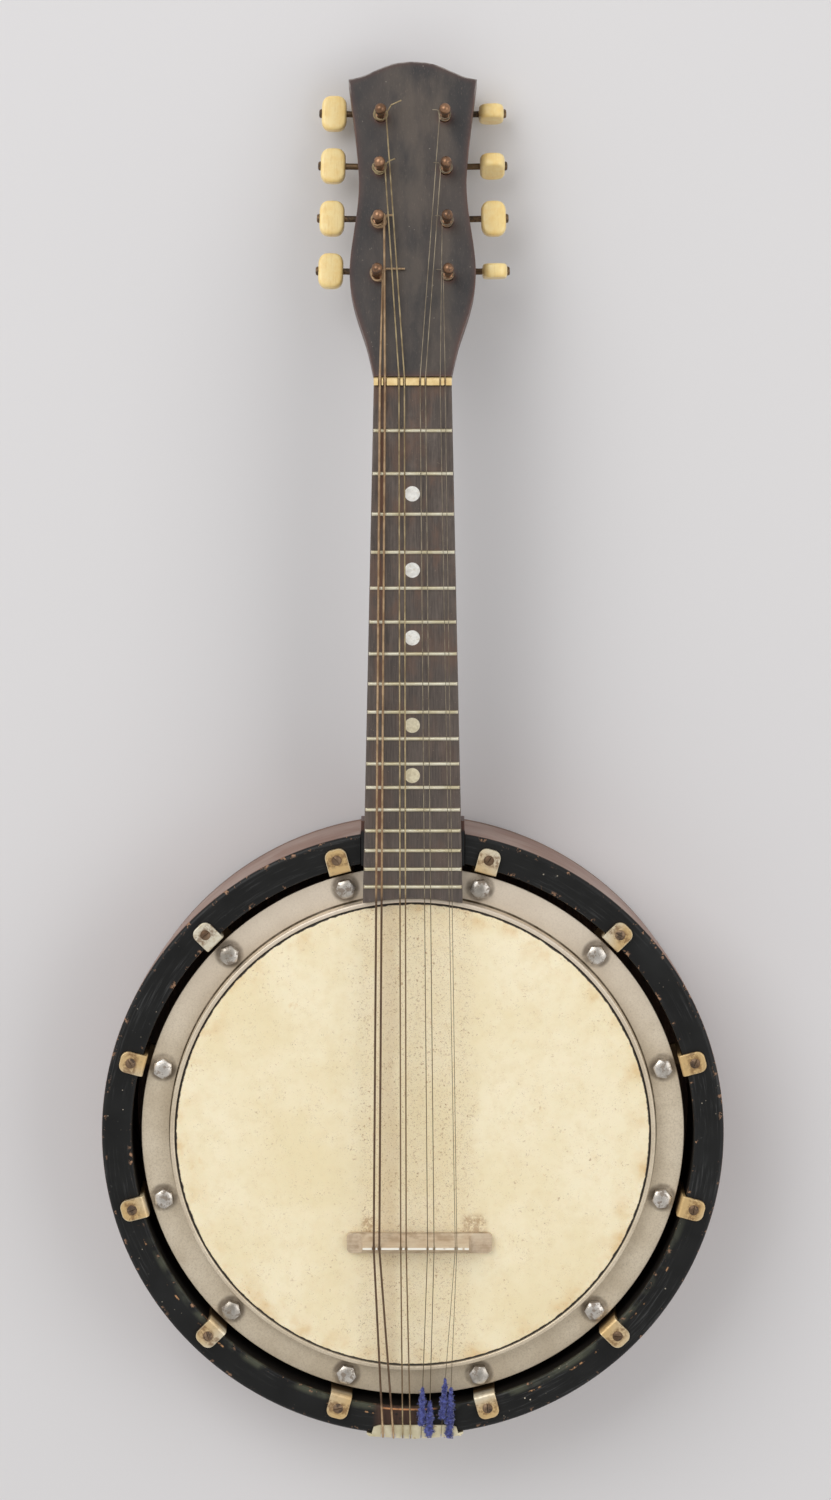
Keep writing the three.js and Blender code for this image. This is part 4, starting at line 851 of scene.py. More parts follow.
def lofted(rings):
    """Skin over rings of equal count, closed at both ends."""
    count = len(rings[0])
    points = [p for ring in rings for p in ring]
    faces = []
    for r in range(len(rings) - 1):
        for k in range(count):
            a, b = r * count + k, r * count + (k + 1) % count
            faces.append((a, b, b + count, a + count))
    faces.append(tuple(reversed(range(count))))
    faces.append(tuple(range(len(points) - count, len(points))))
    return points, faces


def moved(shape, matrix):
    points, faces = shape
    return [matrix @ Vector(p) for p in points], faces


def shift(x, y, z):
    return Matrix.Translation((x, y, z))


def spin(degrees, letter):
    return Matrix.Rotation(radians(degrees), 4, letter)


def joined(*shapes):
    points, faces = [], []
    for more, corners in shapes:
        start = len(points)
        points += list(more)
        faces += [tuple(start + c for c in face) for face in corners]
    return points, faces


def arc(cx, cy, radius, start, end, steps):
    """Points on a circle from one angle to another, in degrees."""
    points = []
    for i in range(steps + 1):
        angle = radians(start + (end - start) * i / steps)
        points.append((cx + radius * cos(angle), cy + radius * sin(angle)))
    return points


def rounded_box(x0, x1, y0, y1, corner, steps):
    """Outline of a rectangle with round corners."""
    outline = []
    for x, y, start in ((x1 - corner, y1 - corner, 0), (x0 + corner, y1 - corner, 90),
                        (x0 + corner, y0 + corner, 180), (x1 - corner, y0 + corner, 270)):
        outline += arc(x, y, corner, start, start + 90, steps)
    return outline


def mesh_of(name, shape):
    points, faces = shape
    work = bmesh.new()
    corners = [work.verts.new(mm(tuple(p))) for p in points]
    for face in faces:
        work.faces.new([corners[c] for c in face])
    bmesh.ops.remove_doubles(work, verts=work.verts, dist=mm(0.002))
    bmesh.ops.recalc_face_normals(work, faces=work.faces)
    mesh = bpy.data.meshes.new(name)
    work.to_mesh(mesh)
    work.free()
    return mesh


def smooth(mesh, sharp):
    """Smooth shading, but for edges sharper than an angle in degrees."""
    mesh.polygons.foreach_set("use_smooth", [True] * len(mesh.polygons))
    mesh.set_sharp_from_angle(angle=radians(sharp))


def make(name, shape, material, stands_for=(), body="instrument", sharp=SHARP_ANGLE):
    """A piece of the object, on a body of the CAD part."""
    mesh = mesh_of(name, shape)
    mesh.materials.append(material)
    smooth(mesh, sharp)
    piece = link(bpy.data.objects.new(name, mesh))
    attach(piece, body)
    if stands_for:
        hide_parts(*stands_for)
    return piece


def carve(piece, shape, operation="DIFFERENCE", sharp=SHARP_ANGLE):
    """Takes a shape from a piece, adds it or keeps what both hold, and applies it at once."""
    tool = link(bpy.data.objects.new("tool", mesh_of("tool", shape)))
    cut = piece.modifiers.new("cut", "BOOLEAN")
    cut.operation = operation
    cut.solver = "EXACT"
    cut.object = tool
    bpy.context.view_layer.update()
    shaped = bpy.data.meshes.new_from_object(piece.evaluated_get(bpy.context.evaluated_depsgraph_get()))
    shaped.name = piece.name
    piece.modifiers.clear()
    piece.data = shaped
    smooth(shaped, sharp)
    bpy.data.objects.remove(tool)


def soften(piece, width, angle=SHARP_ANGLE):
    """Rounds a piece's sharp edges."""
    bevel = piece.modifiers.new("bevel", "BEVEL")
    bevel.width = mm(width)
    bevel.segments = 2
    bevel.angle_limit = radians(angle)


# Places on the headstock

def head_matrix():
    return Matrix.Translation(HEAD_ORIGIN) @ Matrix.Rotation(-HEAD_ANGLE, 4, "X")


def strip_matrix(side):
    place = shift(side * STRIP_OFFSET, STRIP_MIDDLE, 0)
    return head_matrix() @ place @ Matrix.Rotation(side * STRIP_SPLAY, 4, "Z")


def side_and_row(index):
    """A tuner's side and its place along its strip, for strings 0 to 7."""
    side = -1 if index < ROWS else 1
    row = index if index < ROWS else 2 * ROWS - 1 - index
    return side, row_along(row)


def row_along(row):
    return POST_PITCH * (row - (ROWS - 1) / 2)


def gear_level():
    """Height of a gear's upper face, behind the head's face."""
    return -HEAD_THICKNESS - CLEARANCE - PLATE_THICKNESS - GEAR_DROP


def head_point(x, along, out):
    return head_matrix() @ Vector((x, along, out))


# Body

def side_radius(level):
    """Radius of the body's side at a height, as in the part."""
    share = max(0, min(1, (level - BACK_THICKNESS) / (BODY_DEPTH - BACK_THICKNESS)))
    return BODY_RADIUS - BODY_TAPER * (1 - share) + SIDE_BULGE * share * (1 - share)


def make_body():
    low = BACK_THICKNESS + CLEARANCE
    top_round = 1.8
    well_round = 0.8
    side = []
    for i in range(14):
        level = low + (BODY_DEPTH - top_round - low) * i / 13
        side.append((side_radius(level), level))
    rim = turned([
        (WELL_RADIUS, low), *side,
        *arc(BODY_RADIUS - top_round, BODY_DEPTH - top_round, top_round, 8, 90, 7),
        *arc(WELL_RADIUS + well_round, BODY_DEPTH - well_round, well_round, 90, 180, 4),
    ], LARGE_SIDES)
    piece = make("rim", rim, black_paint_finish(), ["body_rim"])
    notch = NECK_HALF + CLEARANCE
    reach = BODY_RADIUS + 8
    inner = WELL_RADIUS - 8
    carve(piece, box(-notch, notch, inner, reach, NECK_TOP - TONGUE_DEPTH - CLEARANCE, BODY_DEPTH + 5))
    pole = POLE_WIDTH / 2 + CLEARANCE
    carve(piece, box(-pole, pole, inner, reach, POLE_BOTTOM - CLEARANCE, BODY_DEPTH + 5))

    back_round = 2.4
    radius = BODY_RADIUS - BODY_TAPER
    back = turned([
        (0, 0), *arc(radius - back_round, back_round, back_round, -90, 0, 8),
        (radius, BACK_THICKNESS), (0, BACK_THICKNESS),
    ], LARGE_SIDES)
    make("back", back, back_finish(), ["body_back"])


def make_drum():
    upper = CLAMP_TOP - CLAMP_THICKNESS - CLEARANCE
    lower = upper - 2 * FLESH_RADIUS
    inner = SKIN_RADIUS - SKIN_THICKNESS
    edge = 0.9
    skin = turned([
        (0, SKIN_TOP), (40, SKIN_TOP), (80, SKIN_TOP),
        *arc(SKIN_RADIUS - edge, SKIN_TOP - edge, edge, 90, 0, 6),
        (SKIN_RADIUS, upper - 0.2),
        *arc(SKIN_RADIUS + FLESH_OUT, (upper + lower) / 2, FLESH_RADIUS, 90, -90, 8),
        (inner, lower), (inner, SKIN_TOP - SKIN_THICKNESS), (0, SKIN_TOP - SKIN_THICKNESS),
    ], RING_SIDES)
    make("skin", skin, skin_finish(), ["skin_head"])

    bottom = CLAMP_TOP - CLAMP_THICKNESS
    hoop_round = 0.7
    edge = 0.35
    ring = turned([
        (HOOP_INNER, bottom), (CLAMP_RADIUS - edge, bottom),
        *arc(CLAMP_RADIUS - edge, CLAMP_TOP - edge, edge, 0, 90, 3),
        (HOOP_OUTER + 0.5, CLAMP_TOP), (HOOP_OUTER, CLAMP_TOP + 0.5),
        *arc(HOOP_OUTER - hoop_round, HOOP_TOP - hoop_round, hoop_round, 0, 90, 5),
        *arc(HOOP_INNER + hoop_round, HOOP_TOP - hoop_round, hoop_round, 90, 180, 5),
    ], LARGE_SIDES)
    make("clamp", ring, nickel_finish(), ["clamp_ring"])


def round_the_drum(number):
    """Turn that takes a shape drawn along +X to bolt or bracket 1 to 12."""
    return Matrix.Rotation(2 * pi * (number - 0.5) / BOLT_COUNT, 4, "Z")


def hexagon(across):
    return arc(0, 0, across / sqrt(3), 0, 300, 5)


def make_bolts():
    bright = metal_finish("bolt", (226, 220, 212), (172, 164, 152), (122, 106, 90), 0.32, 131, 0.5, 0.7)
    bottom = CLAMP_TOP + CLEARANCE
    top = bottom + BOLT_HEIGHT
    head = prism(hexagon(BOLT_ACROSS), bottom, top + 1)
    dome = turned([(0, bottom - 1), (6, bottom - 1), (6, top - 2.6), (4.3, top - 1.2), (3.6, top - 0.7),
                   (2.8, top - 0.35), (1.5, top - 0.1), (0, top)], 48)
    tip = bottom - BOLT_SHANK
    shank = turned([(0, tip), (BOLT_RADIUS - 0.3, tip), (BOLT_RADIUS, tip + 0.4), (BOLT_RADIUS, bottom + 1),
                    (0, bottom + 1)], 20)
    for number in range(1, BOLT_COUNT + 1):
        twist = spin(BOLT_TWIST * number % 60, "Z")
        place = round_the_drum(number) @ shift(BOLT_CIRCLE, 0, 0)
        piece = make(f"bolt_{number}", moved(head, place @ twist), bright, [f"tension_bolt_{number}"])
        carve(piece, moved(dome, place), "INTERSECT", sharp=BOLT_SHARP_ANGLE)
        carve(piece, moved(shank, place), "UNION", sharp=BOLT_SHARP_ANGLE)
        soften(piece, 0.22, angle=BOLT_SHARP_ANGLE)


def bracket_strip(inner, outer, low, top, foot_end):
    """A bracket's bent strip along +X: its tab on the black face, its upright and its foot."""
    half = BRACKET_WIDTH / 2
    bend = 1.5
    section = [
        (SCREW_CIRCLE + half, low), (SCREW_CIRCLE + half, top),
        *arc(inner + bend, top - bend, bend, 90, 180, 5),
        (inner, FOOT_TOP), (foot_end, FOOT_TOP), (foot_end, FOOT_BOTTOM), (outer, FOOT_BOTTOM),
        (outer, low),
    ]
    return moved(prism(section, -half, half), spin(90, "X"))


def bracket_plan(low, high, foot_end):
    """A bracket seen from above, with the round corners of its tab."""
    half = BRACKET_WIDTH / 2
    corner = SCREW_CIRCLE + half - BRACKET_CORNER
    aside = half - BRACKET_CORNER
    start = foot_end - 4
    outline = [(start, -half), *arc(corner, -aside, BRACKET_CORNER, -90, 0, 9),
               *arc(corner, aside, BRACKET_CORNER, 0, 90, 9), (start, half)]
    return prism(outline, low, high)


def make_bracket_screw(number, seat, rust):
    wide = BRACKET_SCREW_RADIUS
    head = turned([(0, -1), (wide, -1), (wide, 0.25), (1.7, 0.6), (0.9, 0.85), (0, 0.9)], 28)
    shank = turned([(0, -9.5), (0.9, -9.5), (1.1, -9), (1.1, -0.5), (0, -0.5)], 12)
    screw = make(f"bracket_screw_{number}", moved(head, seat), rust)
    carve(screw, moved(box(-3, 3, -0.28, 0.28, 0.3, 3), seat))
    carve(screw, moved(shank, seat), "UNION")


def make_brackets():
    plate = bracket_finish()
    rust = metal_finish("bracket_screw", (150, 126, 102), (98, 76, 58), (60, 46, 36), 0.5, 142, 0.5)
    bow = WELL_RADIUS - sqrt(WELL_RADIUS ** 2 - (BRACKET_WIDTH / 2) ** 2)
    outer = WELL_RADIUS - CLEARANCE - bow
    inner = outer - BRACKET_THICKNESS
    low = BODY_DEPTH + CLEARANCE
    top = low + BRACKET_THICKNESS
    foot_end = TONE_INNER - 1
    strip = bracket_strip(inner, outer, low, top, foot_end)
    plan = bracket_plan(FOOT_BOTTOM - 4, top + 4, foot_end)
    hole = moved(rod(BOLT_RADIUS + CLEARANCE, 0, 60, 20), shift(BOLT_CIRCLE, 0, 0))
    for number in range(1, BOLT_COUNT + 1):
        place = round_the_drum(number)
        piece = make(f"bracket_tab_{number}", moved(strip, place), plate, [f"bracket_{number}"])
        carve(piece, moved(plan, place), "INTERSECT")
        carve(piece, moved(hole, place))
        soften(piece, 0.3)
        seat = place @ shift(SCREW_CIRCLE, 0, top) @ spin(BRACKET_SCREW_TWIST * number, "Z")
        make_bracket_screw(number, seat, rust)


# Neck

def catmull(points, steps):
    """A smooth curve through points, with the ends doubled."""
    curve = []
    last = len(points) - 1
    for i in range(last):
        p0, p1, p2, p3 = (points[max(0, min(last, i + k))] for k in (-1, 0, 1, 2))
        for step in range(steps):
            t = step / steps
            curve.append(tuple(
                0.5 * ((2 * b) + (c - a) * t + (2 * a - 5 * b + 4 * c - d) * t ** 2
                       + (3 * b - a - 3 * c + d) * t ** 3)
                for a, b, c, d in zip(p0, p1, p2, p3)
            ))
    curve.append(points[-1])
    return curve


def head_outline():
    side = catmull([(w / 2, y) for w, y in HEAD_WIDTHS], 10)
    corner = side[-1]
    crest = []
    for i in range(1, 17):
        t = i / 16
        weights = ((1 - t) ** 3, 3 * t * (1 - t) ** 2, 3 * t ** 2 * (1 - t), t ** 3)
        controls = (corner, *HEAD_CREST)
        crest.append(tuple(sum(w * c[k] for w, c in zip(weights, controls)) for k in (0, 1)))
    right = [(HEAD_WIDTHS[0][0] / 2, -14), *side, *crest]
    left = [(-x, y) for x, y in reversed(right[:-1])]
    return right + left


def board_half(y):
    """Half of the fingerboard's width at a distance along the neck."""
    nut_end = NUT_AT - CLEARANCE
    share = (nut_end - y) / (nut_end - BOARD_END_RADIUS)
    return (NUT_WIDTH + (BOARD_END_WIDTH - NUT_WIDTH) * share) / 2


def neck_depth(y):
    """Depth of the neck at a distance along it, deeper at the heel."""
    head_start = NUT_AT + NUT_THICKNESS + CLEARANCE
    depth = NECK_DEPTH + NECK_DEPTH_GAIN * (head_start - y) / (head_start - BODY_RADIUS)
    heel = max(0, min(1, (BODY_RADIUS + HEEL_LENGTH - y) / HEEL_LENGTH))
    return depth + HEEL_DEPTH * heel ** 2


def neck_rings():
    """Half-round sections of the neck from the heel to beyond the nut."""
    start, end = BODY_RADIUS - 4, NUT_AT + NUT_THICKNESS + CLEARANCE + 20
    rings = []
    for i in range(49):
        y = start + (end - start) * (i / 48) ** 1.5
        half = board_half(min(y, NUT_AT - CLEARANCE))
        rings.append([(half * c, y, NECK_TOP + neck_depth(y) * s) for c, s in arc(0, 0, 1, 0, -180, 28)])
    return rings


def body_with_room():
    """The body's outer shape with clearance, which the heel is cut to."""
    seat = [(0, -4), (BODY_RADIUS - BODY_TAPER + CLEARANCE, -4)]
    for i in range(12):
        level = BACK_THICKNESS + (BODY_DEPTH - BACK_THICKNESS) * i / 11
        seat.append((side_radius(level) + CLEARANCE, level))
    seat += [(BODY_RADIUS + CLEARANCE, BODY_DEPTH + 5), (0, BODY_DEPTH + 5)]
    return turned(seat, RING_SIDES)


def add_pole(piece):
    """The neck's wood carried through the rim's notch and the body."""
    well_face = sqrt(WELL_RADIUS ** 2 - (NECK_HALF + CLEARANCE) ** 2) - CLEARANCE
    lap = BODY_RADIUS + 4
    pole = POLE_WIDTH / 2
    tail = -(sqrt(WELL_RADIUS ** 2 - pole ** 2) - CLEARANCE)
    carve(piece, box(-NECK_HALF, NECK_HALF, well_face, lap, NECK_TOP - TONGUE_DEPTH, NECK_TOP), "UNION")
    carve(piece, box(-pole, pole, well_face, lap, POLE_BOTTOM, NECK_TOP), "UNION")
    carve(piece, box(-pole, pole, tail, well_face + 4, POLE_BOTTOM, POLE_BOTTOM + POLE_DEPTH), "UNION")


def make_neck():
    piece = make("neck_wood", lofted(neck_rings()), neck_finish(), ["neck"])
    carve(piece, body_with_room())
    carve(piece, moved(prism(head_outline(), -HEAD_THICKNESS, 0), head_matrix()), "UNION")
    add_pole(piece)
    head_start = NUT_AT + NUT_THICKNESS + CLEARANCE
    aside, clear = 27, 41
    carve(piece, moved(box(-aside, aside, 0, clear, 0, clear), head_matrix()))
    carve(piece, box(-aside, aside, head_start - clear, head_start, NECK_TOP, NECK_TOP + clear))
    for index in range(2 * ROWS):
        side, along = side_and_row(index)
        hole = rod(POST_RADIUS + CLEARANCE, -40, 4, SMALL_SIDES)
        carve(piece, moved(hole, strip_matrix(side) @ shift(0, along, 0)))
    soften(piece, 0.5, angle=40)


def fret_at(number):
    return NUT_AT - SCALE_LENGTH * (1 - 2 ** (-number / 12))


def fret_shape(y):
    """A fret across the board: a tang and a round crown, lower at both ends."""
    half = board_half(y) - 0.3
    tang = BOARD_TOP - 0.6
    side = FRET_WIDTH / 2
    crown = [(y + side * c, BOARD_TOP + FRET_HEIGHT * s) for c, s in arc(0, 0, 1, 0, 180, 12)]
    section = [(y - side, tang), (y + side, tang), *crown]
    rings = []
    for x, share in ((-half, 0.6), (-half + 0.4, 1), (half - 0.4, 1), (half, 0.6)):
        rings.append([(x, place, tang + (z - tang) * share) for place, z in section])
    return lofted(rings)


def make_fingerboard():
    end = degrees(asin(BOARD_END_WIDTH / 2 / BOARD_END_RADIUS))
    nut_end = NUT_AT - CLEARANCE
    outline = [(NUT_WIDTH / 2, nut_end), (-NUT_WIDTH / 2, nut_end),
               *arc(0, 0, BOARD_END_RADIUS, 90 + end, 90 - end, 12)]
    board = make("board", prism(outline, BOARD_BOTTOM, BOARD_TOP), fingerboard_finish(), ["fingerboard"])
    soften(board, 0.35)
    brass = metal_finish("fret_brass", (250, 244, 222), (224, 212, 176), (150, 124, 82), 0.3, 181, 0.62)
    frets = [fret_shape(fret_at(number)) for number in range(1, FRET_COUNT + 1)]
    make("frets", joined(*frets), brass, ["fingerboard"])


def make_nut():
    end = NUT_AT + NUT_THICKNESS
    top = BOARD_TOP + NUT_RISE
    rounded = arc(end - NUT_ROUND, top - NUT_ROUND, NUT_ROUND, 0, 90, 5)
    section = [(NUT_AT, BOARD_BOTTOM), (end, BOARD_BOTTOM), *rounded, (NUT_AT, top)]
    rings = [[(x, y, z) for y, z in section] for x in (-NUT_WIDTH / 2, NUT_WIDTH / 2)]
    piece = make("nut_bone", lofted(rings), nut_finish(), ["nut"])
    level = BOARD_TOP + STRING_ACTION
    for index, diameter in enumerate(STRING_DIAMETERS):
        half = diameter / 2 + CLEARANCE
        x = NUT_SHARES[index] * NUT_WIDTH / 2
        carve(piece, box(x - half, x + half, NUT_AT - 4, end + 4, level - half, top + 4))
    soften(piece, 0.18)


def bridge_face(bottom, foot, left, right):
    """The bridge seen from the tail: an arched foot, scooped ends and a flat saddle."""
    saddle_left, saddle_right = SADDLE_CENTRE - SADDLE_LENGTH / 2, SADDLE_CENTRE + SADDLE_LENGTH / 2
    arch = BRIDGE_ARCH_HALF
    scoop = BRIDGE_SCOOP
    return [
        (left, bottom), (BRIDGE_CENTRE - arch, bottom),
        *[(BRIDGE_CENTRE + arch * c, bottom + BRIDGE_ARCH_RISE * s) for c, s in arc(0, 0, 1, 170, 10, 12)],
        (BRIDGE_CENTRE + arch, bottom), (right, bottom), (right, foot),
        *arc(saddle_right + scoop, foot + scoop, scoop, 270, 200, 5), (saddle_right, BRIDGE_TOP),
        (saddle_left, BRIDGE_TOP), *arc(saddle_left - scoop, foot + scoop, scoop, -20, -90, 5), (left, foot),
    ]


def bridge_section(bottom, foot, rear, front):
    """The bridge seen from its end: a block with shoulders that rise to a narrow crest."""
    out, shoulder = BRIDGE_SHOULDER_OUT, foot + BRIDGE_SHOULDER_UP
    return [(rear, bottom - 1), (front, bottom - 1), (front, foot),
            (BRIDGE_AT + out, shoulder), (BRIDGE_AT + CREST_FRONT, BRIDGE_TOP),
            (BRIDGE_AT - CREST_REAR, BRIDGE_TOP), (BRIDGE_AT - out, shoulder), (rear, foot)]


def make_bridge():
    bottom = SKIN_TOP + CLEARANCE
    foot = bottom + BRIDGE_FOOT
    left, right = BRIDGE_CENTRE - BRIDGE_LENGTH / 2, BRIDGE_CENTRE + BRIDGE_LENGTH / 2
    front, rear = BRIDGE_AT + BRIDGE_DEPTH / 2, BRIDGE_AT - BRIDGE_DEPTH / 2
    block = moved(prism(bridge_face(bottom, foot, left, right), -front, -rear), spin(90, "X"))
    piece = make("bridge_wood", block, bridge_finish(), ["bridge"])
    section = bridge_section(bottom, foot, rear, front)
    rings = [[(x, y, z) for y, z in section] for x in (left - 4, right + 4)]
    carve(piece, lofted(rings), "INTERSECT")
    plan = rounded_box(left, right, rear, front, BRIDGE_CORNER, 6)
    carve(piece, prism(plan, bottom - 4, BRIDGE_TOP + 4), "INTERSECT")
    notches = [*zip(BRIDGE_SHARES, STRING_DIAMETERS), SPARE_NOTCH]
    for share, diameter in notches:
        half = diameter / 2 + CLEARANCE
        x = SADDLE_CENTRE + share * SADDLE_LENGTH / 2
        carve(piece, box(x - half, x + half, rear - 4, front + 4, BRIDGE_TOP - half, BRIDGE_TOP + 4))
    soften(piece, 0.3)


# Tuners

def gear_outline():
    outline = []
    root, tip = 0.95 / 2 / GEAR_ROOT, 0.5 / 2 / GEAR_TIP
    for tooth in range(GEAR_TEETH):
        middle = pi / 2 + 2 * pi * (tooth + 0.5) / GEAR_TEETH
        for radius, angle in ((GEAR_ROOT, -root), (GEAR_TIP - 0.3, -tip * 1.5), (GEAR_TIP, -tip * 0.6),
                              (GEAR_TIP, tip * 0.6), (GEAR_TIP - 0.3, tip * 1.5), (GEAR_ROOT, root)):
            outline.append((radius * cos(middle + angle), radius * sin(middle + angle)))
    return outline


def make_post(index, material):
    side, along = side_and_row(index)
    gear_top = gear_level()
    gear_bottom = gear_top - GEAR_THICKNESS
    stem = turned([
        (0, gear_bottom - 0.9), (1.2, gear_bottom - 0.9), (1.4, gear_bottom - 0.6), (1.4, gear_top),
        (POST_RADIUS, gear_top), (POST_RADIUS, POST_WAIST_FROM - 0.3), (POST_WAIST, POST_WAIST_FROM),
        (POST_WAIST, POST_WAIST_TO), (POST_WAIST + 0.3, POST_WAIST_TO + 0.4),
        (POST_RADIUS, POST_FLARE_TO), (POST_RADIUS, POST_DOME_AT),
        *arc(0, POST_DOME_AT, POST_RADIUS, 0, 90, 8),
    ], 32)
    place = strip_matrix(side) @ shift(0, along, 0)
    shape = joined(stem, prism(gear_outline(), gear_bottom, gear_top))
    number = index + 1
    make(f"post_{number}_metal", moved(shape, place), material, [f"tuner_post_{number}"],
         f"post_{number}")


def worm_ridge():
    """A thread round the key's shaft, along X and as wide as the part's."""
    pitch_radius = GEAR_ROOT + (GEAR_TIP - GEAR_ROOT) / 2
    lead = 2 * pi * pitch_radius / GEAR_TEETH
    steps = 24
    rings = []
    for i in range(WORM_TURNS * steps + 1):
        angle = pi + 2 * pi * (i / steps - WORM_TURNS / 2)
        x = lead * (i / steps - WORM_TURNS / 2)
        ring = []
        for offset, radius in ((-0.42, KEY_RADIUS - 0.2), (-0.12, WORM_RADIUS), (0.12, WORM_RADIUS),
                               (0.42, KEY_RADIUS - 0.2)):
            ring.append((x + offset, radius * cos(angle), radius * sin(angle)))
        rings.append(ring)
    return lofted(rings)


def button_shape():
    """A rounded ivoroid button about X: straight sides, arched ends and softened faces."""
    straight = BUTTON_STRAIGHT / 2
    half_length, half_width = BUTTON_LENGTH / 2, BUTTON_WIDTH / 2
    outline = []
    for sx, sy in ((1, 1), (-1, 1), (-1, -1), (1, -1)):
        corner = []
        for i in range(9):
            t = pi / 2 * i / 8
            x = half_length * abs(cos(t)) ** 0.62
            y = straight + (half_width - straight) * abs(sin(t)) ** 1.1
            corner.append((sx * x, sy * y))
        outline += corner if sx == sy else corner[::-1]
    rings = []
    for inset, share in ((1.5, -1), (0.9, -0.98), (0.4, -0.88), (0.1, -0.66), (0, -0.35),
                         (0, 0.35), (0.1, 0.66), (0.4, 0.88), (0.9, 0.98), (1.5, 1)):
        scale_x, scale_y = 1 - inset / half_length, 1 - inset / half_width
        rings.append([(x * scale_x, y * scale_y, share * BUTTON_THICKNESS / 2) for x, y in outline])
    return lofted(rings)


def make_key(index, metal, cream):
    side, along = side_and_row(index)
    number = index + 1
    level = gear_level() - GEAR_THICKNESS / 2
    place = strip_matrix(side) @ shift(0, along + WORM_OFFSET, level)
    centre = side * (BUTTON_AT - STRIP_OFFSET)
    facing = spin(90, "Y")
    run = abs(centre)
    shaft = turned([
        (0, -KEY_INNER_END), (KEY_RADIUS - 0.2, -KEY_INNER_END), (KEY_RADIUS, 0.2 - KEY_INNER_END),
        (KEY_RADIUS, run + 4), (1.75, run + 4.6), (1.9, run + 5.3), (1.6, run + 6), (0.9, run + 6.2),
        (0, run + 6.2),
    ], SMALL_SIDES)
    outward = facing if side > 0 else spin(180, "Z") @ facing
    make(f"key_{number}_metal", joined(moved(shaft, place @ outward), moved(worm_ridge(), place)), metal,
         [f"tuner_key_{number}"], f"key_{number}")
    turn = spin(BUTTON_TURNS[index], "X")
    button = moved(button_shape(), place @ shift(centre, 0, 0) @ turn)
    make(f"key_{number}_button", button, cream, body=f"key_{number}", sharp=60)


def ear_shape():
    """One of the two ears that hold a key's shaft."""
    sides = [(-EAR_RADIUS, 0.6), *arc(0, -EAR_DROP, EAR_RADIUS, 180, 360, 10), (EAR_RADIUS, 0.6)]
    return prism(sides, -EAR_HALF, EAR_HALF)


def make_plate_screws(name, place, start, bottom, metal):
    wide = PLATE_SCREW_RADIUS
    head = turned([(0, 0.2), (wide, 0.2), (wide, -0.3), (1.7, -0.65), (0.9, -0.8), (0, -0.82)], SMALL_SIDES)
    screws = [start + PLATE_SCREW_INSET]
    screws += [row_along(row) + (WORM_OFFSET + POST_PITCH) / 2 for row in (0, 2)]
    for k, along in enumerate(screws):
        seat = place @ shift(0, along, bottom) @ spin(PLATE_SCREW_TWISTS[k], "Z")
        screw = make(f"plate_{name}_screw_{k + 1}", moved(head, seat), metal)
        carve(screw, moved(box(-3, 3, -0.25, 0.25, -2, -0.35), seat))


def make_tuner_plate(side, metal, screw_metal):
    name = "left" if side < 0 else "right"
    start, end = row_along(0) - PLATE_END, row_along(ROWS - 1) + PLATE_END
    top = -HEAD_THICKNESS - CLEARANCE
    bottom = top - PLATE_THICKNESS
    level = gear_level() - GEAR_THICKNESS / 2
    outline = rounded_box(-PLATE_HALF, PLATE_HALF, start, end, PLATE_CORNER, 5)
    place = strip_matrix(side)
    piece = make(f"plate_{name}", moved(prism(outline, bottom, top), place), metal,
                 [f"tuner_plate_{name}"])
    bore = rod(KEY_RADIUS + CLEARANCE, -9, 9, SMALL_SIDES)
    hole = rod(POST_RADIUS + CLEARANCE, -30, 0, SMALL_SIDES)
    for row in range(ROWS):
        post = row_along(row)
        worm = post + WORM_OFFSET
        for way in (-1, 1):
            upright = shift(way * EAR_ASIDE, worm, bottom) @ spin(90, "Z")
            carve(piece, moved(ear_shape(), place @ upright @ spin(90, "X")), "UNION")
        across = shift(0, worm, level) @ spin(90, "Y")
        carve(piece, moved(bore, place @ across))
        carve(piece, moved(hole, place @ shift(0, post, 0)))
    soften(piece, 0.15)
    make_plate_screws(name, place, start, bottom, screw_metal)


def make_tuners():
    copper = metal_finish("post_metal", (172, 132, 102), (120, 90, 68), (72, 56, 46), 0.34, 161, 0.52)
    bronze = metal_finish("key_metal", (128, 104, 76), (84, 66, 50), (52, 42, 34), 0.4, 162, 0.5)
    brass = metal_finish("brass", (176, 148, 104), (126, 100, 66), (84, 66, 46), 0.4, 151, 0.5)
    cream = ivoroid_finish()
    for index in range(2 * ROWS):
        make_post(index, copper)
        make_key(index, bronze, cream)
    for side in (-1, 1):
        make_tuner_plate(side, brass, bronze)


# Strings, on the part's own routes with finer coils

